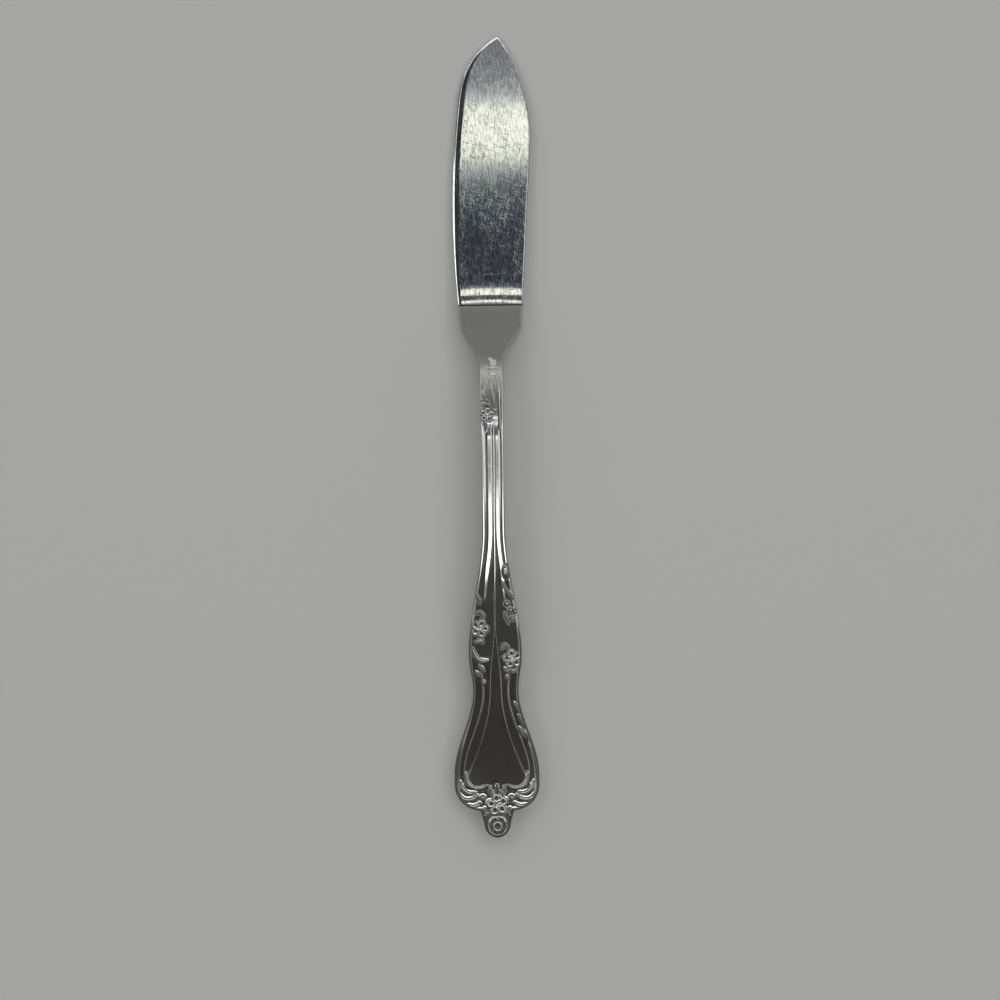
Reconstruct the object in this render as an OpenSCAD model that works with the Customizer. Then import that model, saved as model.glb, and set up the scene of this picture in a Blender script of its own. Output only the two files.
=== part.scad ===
// Butter spreader: a clipped blade with a short tang, brazed into a die-struck handle.
// Lengths are in millimetres. The spreader lies on its back: +Y runs from the handle to
// the tip, +X is to the right as seen from above, and +Z points out of the decorated face.

/* [Blade] */
// Length of the blade from the shoulder line to the tip
blade_length = 62.4; // [50:0.2:80]
// Width of the blade at the shoulder line
heel_width = 14.3; // [12:0.1:16]
// Reach of the back of the blade from the centre line
spine_reach = 9.5; // [8:0.1:10.5]
// Swell of the spreading edge past the heel, at its widest
belly_swell = 1.05; // [0.4:0.05:1.6]
// Distance from the shoulder line to the widest place of the spreading edge
belly_place = 21.7; // [16:0.1:28]
// Radius of the nose, where the spreading edge sweeps up to the tip
nose_radius = 19.4; // [14:0.2:26]
// Radius of the clip, where the back falls to the tip
clip_radius = 45.5; // [32:0.5:64]
// Radius that blunts the tip
tip_radius = 0.7; // [0.4:0.1:1.5]
// Distance of the tip from the centre line, towards the back
tip_offset = 2.4; // [0:0.1:4]
// Thickness of the blade just beyond the ramp at its heel
blade_root_thick = 1.95; // [1.4:0.05:2.1]
// Thickness of the blade at the tip
blade_tip_thick = 0.9; // [0.7:0.05:1]
// Width of the bevel along the spreading edge
bevel_width = 1.5; // [0.8:0.05:2]
// Drop of the bevel from the face to the spreading edge
bevel_drop = 0.45; // [0.3:0.05:0.6]
// Length from the shoulder line over which the bevel grows to its full depth
bevel_run = 24; // [12:1:36]
// Length of the ground ramp between the blade's face and the neck
ramp_length = 6.7; // [5:0.1:9]
// Length over which the ramp rounds over before the shoulder line
ramp_crest = 1.5; // [1:0.1:2.5]

/* [Tang joint] */
// Length of the tang inside the neck
tang_length = 8; // [5:0.5:10]
// Width of the tang
tang_width = 5; // [3:0.1:6]
// Thickness of the tang
tang_thick = 1; // [0.7:0.05:1.2]
// Film of braze between the tang and its slot
braze_gap = 0.1; // [0.06:0.02:0.2]

/* [Handle outline] */
// Length of the handle from its end to the shoulder line
handle_length = 116; // [108:0.5:130]
// Width of the body, near the end of the handle
body_width = 18.2; // [18:0.1:21]
// Width of the waist above the body
waist_width = 9.7; // [8.5:0.1:12]
// Width of the hip above the waist
hip_width = 11.4; // [10:0.1:13]
// Width of the stem at its slimmest
stem_width = 4.9; // [4.4:0.1:5.6]
// Width of the stem where it reaches the neck
stem_top_width = 5; // [4.6:0.1:6]
// Distance from the end of the handle to the middle of the waist
waist_place = 31.3; // [28:0.1:34]
// Distance from the end of the handle to the middle of the hip
hip_place = 38.8; // [36:0.1:44]
// Distance from the end of the handle to the slim stem
stem_place = 66; // [60:0.5:74]
// Length of the neck, from the top of the stem to the shoulder line
neck_length = 16; // [13.5:0.1:19]
// Radius of the round button at the end of the handle
button_radius = 2.8; // [2:0.1:3]
// Radius of the scalloped lobes beside the end blossom
lobe_radius = 5.5; // [5:0.1:6]
// Distance from the end of the handle to the middle of the lobes
lobe_place = 11.2; // [10.5:0.1:12]

/* [Handle section] */
// Height of the arch that lifts the stem when the spreader lies down
arch_rise = 3; // [0:0.1:5]
// Length over which the arch comes down to the shoulder line
arch_run = 28; // [22:0.5:34]
// Length of the straight slope between the shoulder line and the arch
neck_slope_run = 12; // [8:0.5:16]
// Length of the flat foot under the end of the handle
foot_length = 8; // [4:0.5:14]
// Thickness of the neck at the shoulder line
neck_thick = 2.4; // [2.3:0.05:3.2]
// Height of the side wall along the body
body_edge = 1.8; // [1.4:0.05:2.4]
// Height of the side wall along the stem
stem_edge = 2.6; // [2.1:0.05:3.1]
// Crown of the body above its side wall
body_crown = 0.7; // [0.3:0.05:1.2]
// Crown of the stem above its side wall
stem_crown = 0.4; // [0.2:0.05:0.9]
// Crown of the neck above its side wall
neck_crown = 0.25; // [0.1:0.05:0.6]
// Bevel that breaks the back edges
back_bevel = 0.4; // [0.2:0.05:0.6]

/* [Relief] */
// Width of the bead round the edge of the handle
rim_width = 0.9; // [0.6:0.05:1.2]
// Height of the bead round the edge of the handle
rim_height = 0.2; // [0.1:0.02:0.4]
// Distance of the inner ridge from the edge, on the stem
stem_ridge_inset = 1.55; // [1.4:0.05:1.7]
// Distance of the inner ridge from the edge, on the body
body_ridge_inset = 1.9; // [1.7:0.05:2.4]
// Width of the inner ridge
ridge_width = 0.8; // [0.5:0.05:1]
// Height of the inner ridge
ridge_height = 0.18; // [0.1:0.02:0.4]
// Half width of the plain trumpet panel at its mouth
panel_mouth = 6.2; // [5:0.1:6.6]
// Half width of the plain trumpet panel at the waist
panel_waist = 1.1; // [0.7:0.05:1.6]
// Height of the plain panel above the flutes beside it
panel_height = 0.14; // [0.05:0.01:0.3]
// Height of the blossoms
blossom_height = 0.55; // [0.2:0.05:0.8]
// Height of the leaves, buds and berries
leaf_height = 0.42; // [0.2:0.02:0.7]
// Height of the scrolls and of the scallop lips
scroll_height = 0.4; // [0.2:0.02:0.7]

/* [Hidden] */

$fn = 64;
STEEL_BLADE = [0.62, 0.65, 0.69];
STEEL_HANDLE = [0.70, 0.71, 0.69];
BRAZE = [0.80, 0.72, 0.50];

overall_length = handle_length + blade_length;
heel_half = heel_width / 2;

// Handle outline, measured from the end of the handle. A bias above 1 makes the neck flare
// late, close to the shoulder line.
end_flat = 0.3;
lobe_to_body = 2.3;
neck_taper = 0.3;
heel_straight = 4.4;
flare_bias = 1.54;
body_half = body_width / 2;
waist_half = waist_width / 2;
hip_half = hip_width / 2;
stem_half = stem_width / 2;
stem_top_half = stem_top_width / 2;
neck_half = heel_half - neck_taper;
lobe_centre = body_half - lobe_radius;
lobe_foot = lobe_place - lobe_radius;
body_place = lobe_place + lobe_to_body;
neck_place = handle_length - neck_length;
neck_flare = neck_length - heel_straight;

// Rows of the loft lie close together where there is ornament, and far apart elsewhere
fine_step = 0.46;
plain_step = 1.5;
ORNATE = [[0, 13.5], [20, 29], [33, 58], [handle_length - 29, neck_place + 4.6]];

// The decorated field: its arched top, the run over which its border fades in beside the
// lobes, how far the panel dips into them, and the width of the panel's sloping side
field_top = neck_place + 1.6;
border_fade_run = 2.5;
scallop_depth = 2;
panel_slope = 0.8;

// Blossoms: side of the centre line, distance from the nearer end of the handle, distance
// in from the outline, radius. A place below zero counts back from the shoulder line.
BLOSSOMS = [
  [-1, 44.7, 2.15, 1.85],
  [1, 38.1, 2.1, 1.9],
  [-1, -24.2, 1.45, 1.55],
];
end_blossom_place = 7;
end_blossom_radius = 2.45;

// Leaves: side, place and inset of one end, place and inset of the other, half width
LEAVES = [
  [-1, 52.1, 0.4, 49.7, 1.3, 0.45],
  [-1, 48.4, 1.2, 46.9, 2.4, 0.45],
  [-1, 42.0, 1.3, 41.7, 2.9, 0.4],
  [-1, 36.4, 2.2, 35.1, 3.1, 0.4],
  [-1, 35.3, 1.3, 34.0, 1.9, 0.4],
  [1, 54.1, 2.0, 51.0, 0.4, 0.45],
  [1, 41.5, 2.4, 40.2, 3.4, 0.5],
  [1, 35.6, 3.3, 35.1, 1.2, 0.45],
  [1, 28.6, 1.0, 25.8, 0.1, 0.45],
  [1, 25.8, 0.8, 22.8, 0.1, 0.5],
  [1, 23.2, 1.3, 19.0, 0.1, 0.5],
  [-1, -18.0, 1.2, -20.4, 0.9, 0.6],
  [-1, -20.4, 1.0, -22.6, 1.5, 0.5],
  [-1, -26.0, 1.0, -27.6, 1.5, 0.45],
];

// No leaf is longer than this
leaf_reach = 6;

// Buds and berries: side, place, inset, radius
BUDS = [
  [1, 56.7, 0.85, 1.0],
  [1, 50.0, 1.6, 0.55],
  [1, 48.3, 1.25, 0.55],
  [1, 48.2, 0.4, 0.5],
  [1, 46.7, 1.25, 0.5],
  [1, -13.3, 2.75, 0.8],
  [1, -14.7, 2.3, 0.6],
];

// Scroll under the left blossom: place, inset, radius, first and last angle
SCROLL = [-1, 40.2, 2.6, 2.5, 175, 285];

// Scallops beside the end blossom: distance from the centre line, place, radius, angles
SCALLOPS = [
  [4.35, 13.0, 2.55, 200, 345],
  [6.1, 11.8, 2.2, 215, 345],
  [6.3, 10.3, 2.3, 205, 335],
  [5.2, 8.3, 1.85, 200, 325],
];
scallop_half = 0.42;

// Pointed leaves above and beside the end blossom: offset and place of the two ends
END_LEAVES = [
  [-1.3, 8.6, -1.4, 11.2],
  [0, 8.8, 0, 11.4],
  [1.3, 8.6, 1.4, 11.2],
  [-1.9, 6.2, -3.1, 4.9],
  [1.9, 6.2, 3.1, 4.9],
  [-1.9, 3.5, -0.3, 4.3],
  [1.9, 3.5, 0.3, 4.3],
];
end_leaf_half = 0.6;

// Ring on the button: its radius and the half width of its bead
button_ring = 1.1;
ring_half = 0.45;

// Smooth step from 0 to 1 and a blend that uses it
function rise(t) = let (c = min(1, max(0, t))) c * c * (3 - 2 * c);
function blend(a, b, t) = a + (b - a) * rise(t);

// Rounded bead: its height at a distance from its middle
function bead(distance, half, height) =
  abs(distance) < half ? height * (1 - (distance / half) ^ 2) : 0;

// Half width of the handle at a distance from its end
function half_width(y) =
  y < button_radius ? max(end_flat, sqrt(max(0, button_radius ^ 2 - (y - button_radius) ^ 2)))
  : y < lobe_foot ? button_radius
      + (lobe_centre - button_radius) * (y - button_radius) / (lobe_foot - button_radius)
  : y < lobe_place ? lobe_centre + sqrt(max(0, lobe_radius ^ 2 - (lobe_place - y) ^ 2))
  : y < body_place ? body_half
  : y < waist_place ? blend(body_half, waist_half, (y - body_place) / (waist_place - body_place))
  : y < hip_place ? blend(waist_half, hip_half, (y - waist_place) / (hip_place - waist_place))
  : y < stem_place ? blend(hip_half, stem_half, (y - hip_place) / (stem_place - hip_place))
  : y < neck_place ? blend(stem_half, stem_top_half, (y - stem_place) / (neck_place - stem_place))
  : y < neck_place + neck_flare
    ? blend(stem_top_half, neck_half, ((y - neck_place) / neck_flare) ^ flare_bias)
  : neck_half + (heel_half - neck_half) * (y - neck_place - neck_flare) / (neck_length - neck_flare);

// Fall of the arch towards the shoulder line: a straight slope, then a curve that levels out
straight_share = neck_slope_run / arch_run;
function arch_fall(t) = t < straight_share ? 2 * t / (1 + straight_share)
  : 1 - (1 - min(1, t)) ^ 2 / (1 - straight_share ^ 2);

// Height of the back above the table, of the side wall, and of the crown
function back_height(y) = arch_rise
  * rise((y - foot_length) / (stem_place - foot_length))
  * arch_fall((handle_length - y) / arch_run);
function edge_height(y) =
  y < stem_place ? blend(body_edge, stem_edge, (y - hip_place) / (stem_place - hip_place))
  : blend(stem_edge, neck_thick - neck_crown, (y - neck_place) / neck_length);
function crown_height(y) =
  y < stem_place ? blend(body_crown, stem_crown, (y - hip_place) / (stem_place - hip_place))
  : blend(stem_crown, neck_crown, (y - neck_place) / neck_length);
function crown_power(y) = blend(4, 8, (y - neck_place) / neck_flare);
function thickness(y) = edge_height(y) + crown_height(y);
function mid_height(y) = back_height(y) + thickness(y) / 2;

// Distance in from the border of the decorated field, which ends in an arch at the neck
function field_inset(x, y) = y < field_top ? half_width(y) - abs(x)
  : half_width(field_top) - norm([x, y - field_top]);
function ridge_inset(y) = stem_ridge_inset + (body_ridge_inset - stem_ridge_inset)
  * (half_width(y) - stem_half) / (body_half - stem_half);
function border_fade(y) = rise((y - lobe_place) / border_fade_run);

// Half width of the plain panel, which opens from a line on the stem to a wide mouth
function panel_half(y) =
  y > waist_place ? panel_waist * max(0, stem_place - y) / (stem_place - waist_place)
  : panel_waist + (panel_mouth - panel_waist)
      * ((waist_place - y) / (waist_place - lobe_place)) ^ 2;

// Where an ornament lies: x from its side and inset, y from the nearer end of the handle
function place_y(place) = place < 0 ? handle_length + place : place;
function place_x(side, place, inset) = side * (half_width(place_y(place)) - inset);

// Five petals round a raised centre
function blossom(dx, dy, radius) = let (
    away = norm([dx, dy]),
    reach = radius * (0.76 + 0.24 * cos(5 * (atan2(dy, dx) - 90)))
  ) away > radius ? 0
  : max(bead(away, reach, blossom_height), bead(away, 0.3 * radius, 1.25 * blossom_height));

// Leaf that swells between its two ends
function leaf(x, y, a, b, half) = let (
    run = b - a,
    along = min(1, max(0, ((x - a.x) * run.x + (y - a.y) * run.y) / (run * run))),
    away = norm([x, y] - a - along * run)
  ) bead(away, half * (0.55 + 0.45 * sin(180 * along)), leaf_height);

// Ridge along part of a circle
function arc_ridge(dx, dy, radius, first, last, half) = let (
    turn = (atan2(dy, dx) + 360) % 360
  ) turn < first || turn > last ? 0
  : bead(norm([dx, dy]) - radius, half, scroll_height);

function border_relief(x, y) = let (inset = field_inset(x, y)) border_fade(y) * max(
    bead(inset - rim_width / 2, rim_width / 2, rim_height),
    bead(inset - ridge_inset(y), ridge_width / 2, ridge_height));

function panel_relief(x, y) = y < lobe_place - scallop_depth ? 0
  : panel_height * rise((panel_half(y) - abs(x)) / panel_slope + 0.5)
    * rise((stem_place - y) / (stem_place - hip_place));

function side_relief(x, y) = max(concat(
    [for (b = BLOSSOMS) abs(y - place_y(b[1])) > b[3] ? 0
      : blossom(x - place_x(b[0], b[1], b[2]), y - place_y(b[1]), b[3])],
    [for (l = LEAVES) abs(y - place_y(l[1])) > leaf_reach ? 0
      : leaf(x, y, [place_x(l[0], l[1], l[2]), place_y(l[1])],
             [place_x(l[0], l[3], l[4]), place_y(l[3])], l[5])],
    [for (b = BUDS) abs(y - place_y(b[1])) > b[3] ? 0
      : bead(norm([x - place_x(b[0], b[1], b[2]), y - place_y(b[1])]), b[3], leaf_height)],
    [arc_ridge(x - place_x(SCROLL[0], SCROLL[1], SCROLL[2]), y - SCROLL[1],
               SCROLL[3], SCROLL[4], SCROLL[5], scallop_half)]));

function end_relief(x, y) = y > body_place + scallop_depth + 1 ? 0 : max(concat(
    [blossom(x, y - end_blossom_place, end_blossom_radius)],
    [for (s = SCALLOPS) arc_ridge(abs(x) - s[0], y - s[1], s[2], s[3], s[4], scallop_half)],
    [for (l = END_LEAVES) leaf(x, y, [l[0], l[1]], [l[2], l[3]], end_leaf_half)],
    [bead(norm([x, y - button_radius]) - button_ring, ring_half, scroll_height)]));

function relief(x, y) = y > field_top + half_width(field_top) ? 0
  : max(border_relief(x, y), panel_relief(x, y), side_relief(x, y), end_relief(x, y));

function top_height(x, y) = let (across = min(1, abs(x) / max(0.01, half_width(y))))
  back_height(y) + edge_height(y)
  + crown_height(y) * (1 - across ^ crown_power(y)) + relief(x, y);

// Columns of the loft, from the right edge to the left: close together over the rim and
// the ridge, evenly spread over the panel
function edge_columns(y) = let (
    ridge = ridge_inset(y),
    fit = min(1, half_width(y) / (ridge + ridge_width))
  ) fit * [0, 0.2 * rim_width, 0.55 * rim_width, rim_width,
           ridge - ridge_width / 2, ridge, ridge + ridge_width / 2];
panel_columns = 6;
function columns(y) = let (
    half = half_width(y),
    edge = [for (inset = edge_columns(y)) half - inset],
    inner = edge[len(edge) - 1],
    panel = [for (i = [1 : panel_columns - 1]) inner * (1 - i / panel_columns)],
    side = concat(edge, panel)
  ) concat(side, [0], [for (i = [len(side) - 1 : -1 : 0]) -side[i]]);

// One ring of the loft: the back, the right wall, the top, the left wall
function ring(y) = let (
    half = half_width(y),
    back = back_height(y),
    bevel = min(back_bevel, half / 2)
  ) concat(
    [[bevel - half, y, back], [0, y, back], [half - bevel, y, back], [half, y, back + bevel]],
    [for (x = columns(y)) [x, y, top_height(x, y)]],
    [[-half, y, back + bevel]]);

function ornate(y) = max([for (zone = ORNATE) y >= zone[0] && y < zone[1] ? 1 : 0]) > 0;
function row_step(y) = y < 1 ? (0.3 + 0.5 * y) * fine_step : ornate(y) ? fine_step : plain_step;
function rows(y) = y > handle_length - plain_step / 2 ? [handle_length]
  : concat([y], rows(y + row_step(y)));

// Closed loft through rings that all have the same number of points
module loft(rings) {
  count = len(rings[0]);
  last = len(rings) - 1;
  polyhedron(
    points = [for (r = rings) each r],
    faces = concat(
      [[for (j = [count - 1 : -1 : 0]) j]],
      [for (i = [0 : last - 1], j = [0 : count - 1]) let (k = (j + 1) % count)
        each [[i * count + j, i * count + k, (i + 1) * count + k],
              [i * count + j, (i + 1) * count + k, (i + 1) * count + j]]],
      [[for (j = [-1 : count - 2]) last * count + (j + count) % count]]));
}

// The tang follows the slope of the neck, and its slot is larger by the braze film
tang_tilt = atan((mid_height(handle_length - tang_length) - mid_height(handle_length)) / tang_length);
module tang_block(film, root) {
  translate([0, handle_length, mid_height(handle_length)])
    rotate([-tang_tilt, 0, 0])
      translate([-tang_width / 2 - film, -tang_length - film, -tang_thick / 2 - film])
        cube([tang_width + 2 * film, tang_length + film + root, tang_thick + 2 * film]);
}

// Outline of the blade from the shoulder line: a straight back and four tangent arcs, for
// the clip, the tip, the nose and the belly
tip_centre = [tip_offset, blade_length - tip_radius];
clip_centre = [spine_reach - clip_radius, tip_centre.y
  - sqrt((clip_radius - tip_radius) ^ 2 - (clip_radius - spine_reach + tip_offset) ^ 2)];
belly_radius = (belly_place ^ 2 + belly_swell ^ 2) / (2 * belly_swell);
belly_centre = [belly_radius - heel_half - belly_swell, belly_place];

// The middle of the nose lies where two circles meet, one round the middle of the belly's
// arc and one round the middle of the tip
nose_from_belly = belly_radius - nose_radius;
nose_from_tip = nose_radius - tip_radius;
tip_way = tip_centre - belly_centre;
nose_along = (nose_from_belly ^ 2 - nose_from_tip ^ 2 + tip_way * tip_way) / (2 * norm(tip_way));
nose_aside = sqrt(nose_from_belly ^ 2 - nose_along ^ 2);
nose_centre = belly_centre
  + (nose_along * tip_way + nose_aside * [-tip_way.y, tip_way.x]) / norm(tip_way);

// Place where an arc touches the next one, which lies inside it
function touch_place(centre, radius, next) = centre.y
  + radius * (next.y - centre.y) / norm(next - centre);
clip_end = touch_place(clip_centre, clip_radius, tip_centre);
nose_start = touch_place(belly_centre, belly_radius, nose_centre);
nose_end = touch_place(nose_centre, nose_radius, tip_centre);

// Reach of an arc from its middle, and the edges of the blade at a distance from the
// shoulder line. The spreading edge can be taken further in by an inset.
tip_flat = 0.12;
function arc_reach(centre, radius, y) = sqrt(max(0, radius ^ 2 - (y - centre.y) ^ 2));
function tip_reach(inset, y) = max(tip_flat, arc_reach(tip_centre, tip_radius - inset, y));
function right_edge(y) =
  y < clip_centre.y ? heel_half + (spine_reach - heel_half) * y / clip_centre.y
  : y < clip_end ? clip_centre.x + arc_reach(clip_centre, clip_radius, y)
  : tip_centre.x + tip_reach(0, y);
function left_edge(y, inset) =
  y < nose_start ? belly_centre.x - arc_reach(belly_centre, belly_radius - inset, y)
  : y < nose_end - inset ? nose_centre.x - arc_reach(nose_centre, nose_radius - inset, y)
  : tip_centre.x - tip_reach(inset, y);

// Ground ramp: it steepens steadily from the slope of the face to its own, and eases again
// to a share of that over the crest at the shoulder line
shoulder_share = 0.55;
ramp_hollow = ramp_length - ramp_crest;
face_slope = (blade_root_thick - blade_tip_thick) / (blade_length - ramp_length);
ramp_slope = (2 * (neck_thick - blade_root_thick) - ramp_hollow * face_slope)
  / (ramp_length + shoulder_share * ramp_crest);
function crest_fall(y) = ramp_slope
  * (shoulder_share * y + (1 - shoulder_share) * y ^ 2 / (2 * ramp_crest));
function hollow_rise(run) = face_slope * run
  + (ramp_slope - face_slope) * run ^ 2 / (2 * ramp_hollow);
function ramp_height(y) = y < ramp_crest ? neck_thick - crest_fall(y)
  : blade_root_thick + hollow_rise(ramp_length - y);

// Height of the face, and the share of its full width and drop that the bevel has, which
// grows from the heel and shrinks again round the nose
function face_height(y) = y < ramp_length ? ramp_height(y)
  : blade_root_thick - face_slope * (y - ramp_length);
heel_bevel = 0.12;
tip_bevel = 0.3;
function bevel_share(y) = blend(heel_bevel, 1, y / bevel_run)
  * blend(1, tip_bevel, (y - nose_start) / (nose_end - nose_start));

// One ring of the blade: its flat back, the right wall, the face and the bevel
function blade_ring(y) = let (
    share = bevel_share(y),
    left = left_edge(y, 0),
    right = right_edge(y),
    bevel_top = min(left_edge(y, share * bevel_width), right - tip_flat),
    face = face_height(y)
  ) [[left, y, 0], [right, y, 0], [right, y, face], [bevel_top, y, face],
     [left, y, face - share * bevel_drop]];

// Rows of the blade: close together on the ramp and round the tip
ramp_steps = 14;
face_steps = 36;
BLADE_ROWS = concat(
  [for (i = [0 : ramp_steps - 1]) ramp_length * i / ramp_steps],
  [for (i = [0 : face_steps - 1]) ramp_length + (tip_centre.y - ramp_length) * i / face_steps],
  [for (a = [0 : 15 : 90]) tip_centre.y + tip_radius * sin(a)]);

// Moves the spreader so that the middle of its length and width lies at the origin
right_reach = max(body_half, spine_reach);
left_reach = max(body_half, heel_half + belly_swell);
module centred() {
  translate([(left_reach - right_reach) / 2, -overall_length / 2, 0]) children();
}

module blade() {
  tang_root = 1.5;
  color(STEEL_BLADE) centred() union() {
    translate([0, handle_length, 0]) loft([for (y = BLADE_ROWS) blade_ring(y)]);
    tang_block(0, tang_root);
  }
}

module handle() {
  overshoot = 1;
  color(STEEL_HANDLE) centred() difference() {
    loft([for (y = rows(0)) ring(y)]);
    tang_block(braze_gap, overshoot);
  }
}

module braze_film() {
  overshoot = 1;
  room = 4 * tang_length;
  color(BRAZE) centred() intersection() {
    difference() {
      tang_block(braze_gap, overshoot);
      tang_block(0, 2 * overshoot);
    }
    translate([-room / 2, handle_length - room, -room / 2]) cube(room);
  }
}

blade();
handle();
braze_film();
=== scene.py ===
"""Dressed butter spreader: a ground and polished blade in a die-struck handle.

Shapes are worked out in millimetres, with y measured along the spreader: from the end of the
handle, or from the shoulder line for the blade. They are carried into the frame, in metres, when
a mesh is made.
"""
import logging
import math
from dataclasses import dataclass, replace
from enum import Enum
from typing import Protocol, Sequence

import bpy
import numpy as np
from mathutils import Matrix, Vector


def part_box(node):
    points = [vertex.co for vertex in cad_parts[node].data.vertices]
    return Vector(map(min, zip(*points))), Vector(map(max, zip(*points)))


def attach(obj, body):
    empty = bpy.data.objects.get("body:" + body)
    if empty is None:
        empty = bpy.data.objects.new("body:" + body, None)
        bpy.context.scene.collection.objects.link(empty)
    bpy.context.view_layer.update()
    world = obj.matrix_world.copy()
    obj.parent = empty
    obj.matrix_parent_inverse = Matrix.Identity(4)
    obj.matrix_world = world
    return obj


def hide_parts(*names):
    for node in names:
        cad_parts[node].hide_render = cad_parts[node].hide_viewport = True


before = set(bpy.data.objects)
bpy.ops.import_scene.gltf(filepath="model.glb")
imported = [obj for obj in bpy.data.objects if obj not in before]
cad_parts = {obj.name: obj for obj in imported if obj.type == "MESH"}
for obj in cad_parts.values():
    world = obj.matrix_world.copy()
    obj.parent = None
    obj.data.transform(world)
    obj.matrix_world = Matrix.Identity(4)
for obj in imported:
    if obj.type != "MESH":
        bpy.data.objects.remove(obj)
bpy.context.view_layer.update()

MM = 0.001
# Points closer than this, in metres, are made one.
WELD = 1e-7
ROOT_BODY = "root"
# Name of the mesh attribute that holds the dullness and the painted shade of each point.
DULL_SHADE = "dull_shade"
# Rings at a rounded end, and the reach of the painted shade in the seam, in shares of the
# rounding's radius.
SEAM_STEPS = np.array([0.0, 0.06, 0.2, 0.4, 0.65, 1.0, 1.6])
SEAM_DULL_SHADE = 1.2
# Points across a flat back, in shares of its half width.
BACK_SPREAD = np.linspace(-0.6, 0.6, 4)[None, :]
# Height of the ceiling lamps, in metres.
CEILING_HEIGHT = 0.95
Field = np.ndarray
Point = tuple[float, float]
Triple = tuple[float, float, float]
Colour = tuple[float, float, float]
Stops = tuple[tuple[float, Colour], ...]
Socket = bpy.types.NodeSocket
WHITE: Colour = (1.0, 1.0, 1.0)
log = logging.getLogger("butter_spreader")


def rise(share: Field) -> Field:
    """Smooth step from 0 to 1 as the share goes from 0 to 1."""
    step = np.clip(share, 0.0, 1.0)
    return step * step * (3.0 - 2.0 * step)


def blend(start: Field | float, end: Field | float, share: Field) -> Field:
    """Value that passes smoothly from start to end as the share goes from 0 to 1."""
    return start + (end - start) * rise(share)


def bead(away: Field, half: Field | float, height: Field | float) -> Field:
    """Height of a rounded bead at a distance from its middle line."""
    return height * np.clip(1.0 - (away / half) ** 2, 0.0, None)


def round_over(inset: Field, radius: Field | float) -> Field:
    """Drop of a rounded edge at a distance in from the outline."""
    short = np.clip(radius - inset, 0.0, radius)
    return radius - np.sqrt(radius ** 2 - short ** 2)


def soft_min(first: Field, second: Field, softness: float) -> Field:
    """Lesser of two heights, with the crease between them rounded over."""
    share = np.clip(0.5 + 0.5 * (second - first) / softness, 0.0, 1.0)
    return second + (first - second) * share - softness * share * (1.0 - share)


def smooth_line(points: Sequence[Point], steps: int = 8) -> Field:
    """Samples a smooth curve through a few points.

    Args:
        points: Points that the curve passes through, in order.
        steps: Samples between one point and the next.

    Returns:
        The samples, one row of x and y each.
    """
    knots = np.array(points, float)
    padded = np.vstack([2 * knots[0] - knots[1], knots, 2 * knots[-1] - knots[-2]])
    t = np.linspace(0.0, 1.0, steps, endpoint=False)[:, None]
    spans = []
    for a, b, c, d in zip(padded[:-3], padded[1:-2], padded[2:-1], padded[3:]):
        bend = (2 * a - 5 * b + 4 * c - d) * t ** 2 + (3 * b - a - 3 * c + d) * t ** 3
        spans.append(b + 0.5 * ((c - a) * t + bend))
    return np.vstack([*spans, knots[-1:]])


def line_distance(x: Field, y: Field, line: Field) -> tuple[Field, Field]:
    """Finds how far points lie from a line of short segments.

    Args:
        x: Distances of the points from the centre line.
        y: Places of the points along the spreader.
        line: Corners of the line, one row of x and y each.

    Returns:
        Distance from the line, and the share of the line passed at the nearest place.
    """
    away = np.full(x.shape, np.inf)
    along = np.zeros(x.shape)
    for index, (start, end) in enumerate(zip(line[:-1], line[1:])):
        run = end - start
        share = ((x - start[0]) * run[0] + (y - start[1]) * run[1]) / (run @ run)
        share = np.clip(share, 0.0, 1.0)
        near = np.hypot(x - start[0] - share * run[0], y - start[1] - share * run[1])
        closer = near < away
        away = np.where(closer, near, away)
        along = np.where(closer, (index + share) / (len(line) - 1), along)
    return away, along


def spaced_rows(rows: Sequence[Field], least: float) -> Field:
    """Joins runs of row places into one rising list without rows that nearly coincide.

    Args:
        rows: Runs of places along a piece.
        least: Least distance between two rows.

    Returns:
        The places in order, with the first and the last kept.
    """
    places = np.unique(np.concatenate(rows))
    kept = [places[0]]
    for place in places[1:-1]:
        if place - kept[-1] >= least and places[-1] - place >= least:
            kept.append(place)
    return np.array([*kept, places[-1]])


def half_chord(radius: float, away: Field) -> Field:
    """Half of a circle's chord at a distance from its middle."""
    return np.sqrt(np.clip(radius ** 2 - away ** 2, 0.0, None))


def seam_draw(past: Field, radius: float) -> Field:
    """How far a rounded end is drawn in, as the rounding goes from 0 to 1."""
    return radius * (1.0 - np.sqrt(1.0 - past ** 2))


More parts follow.
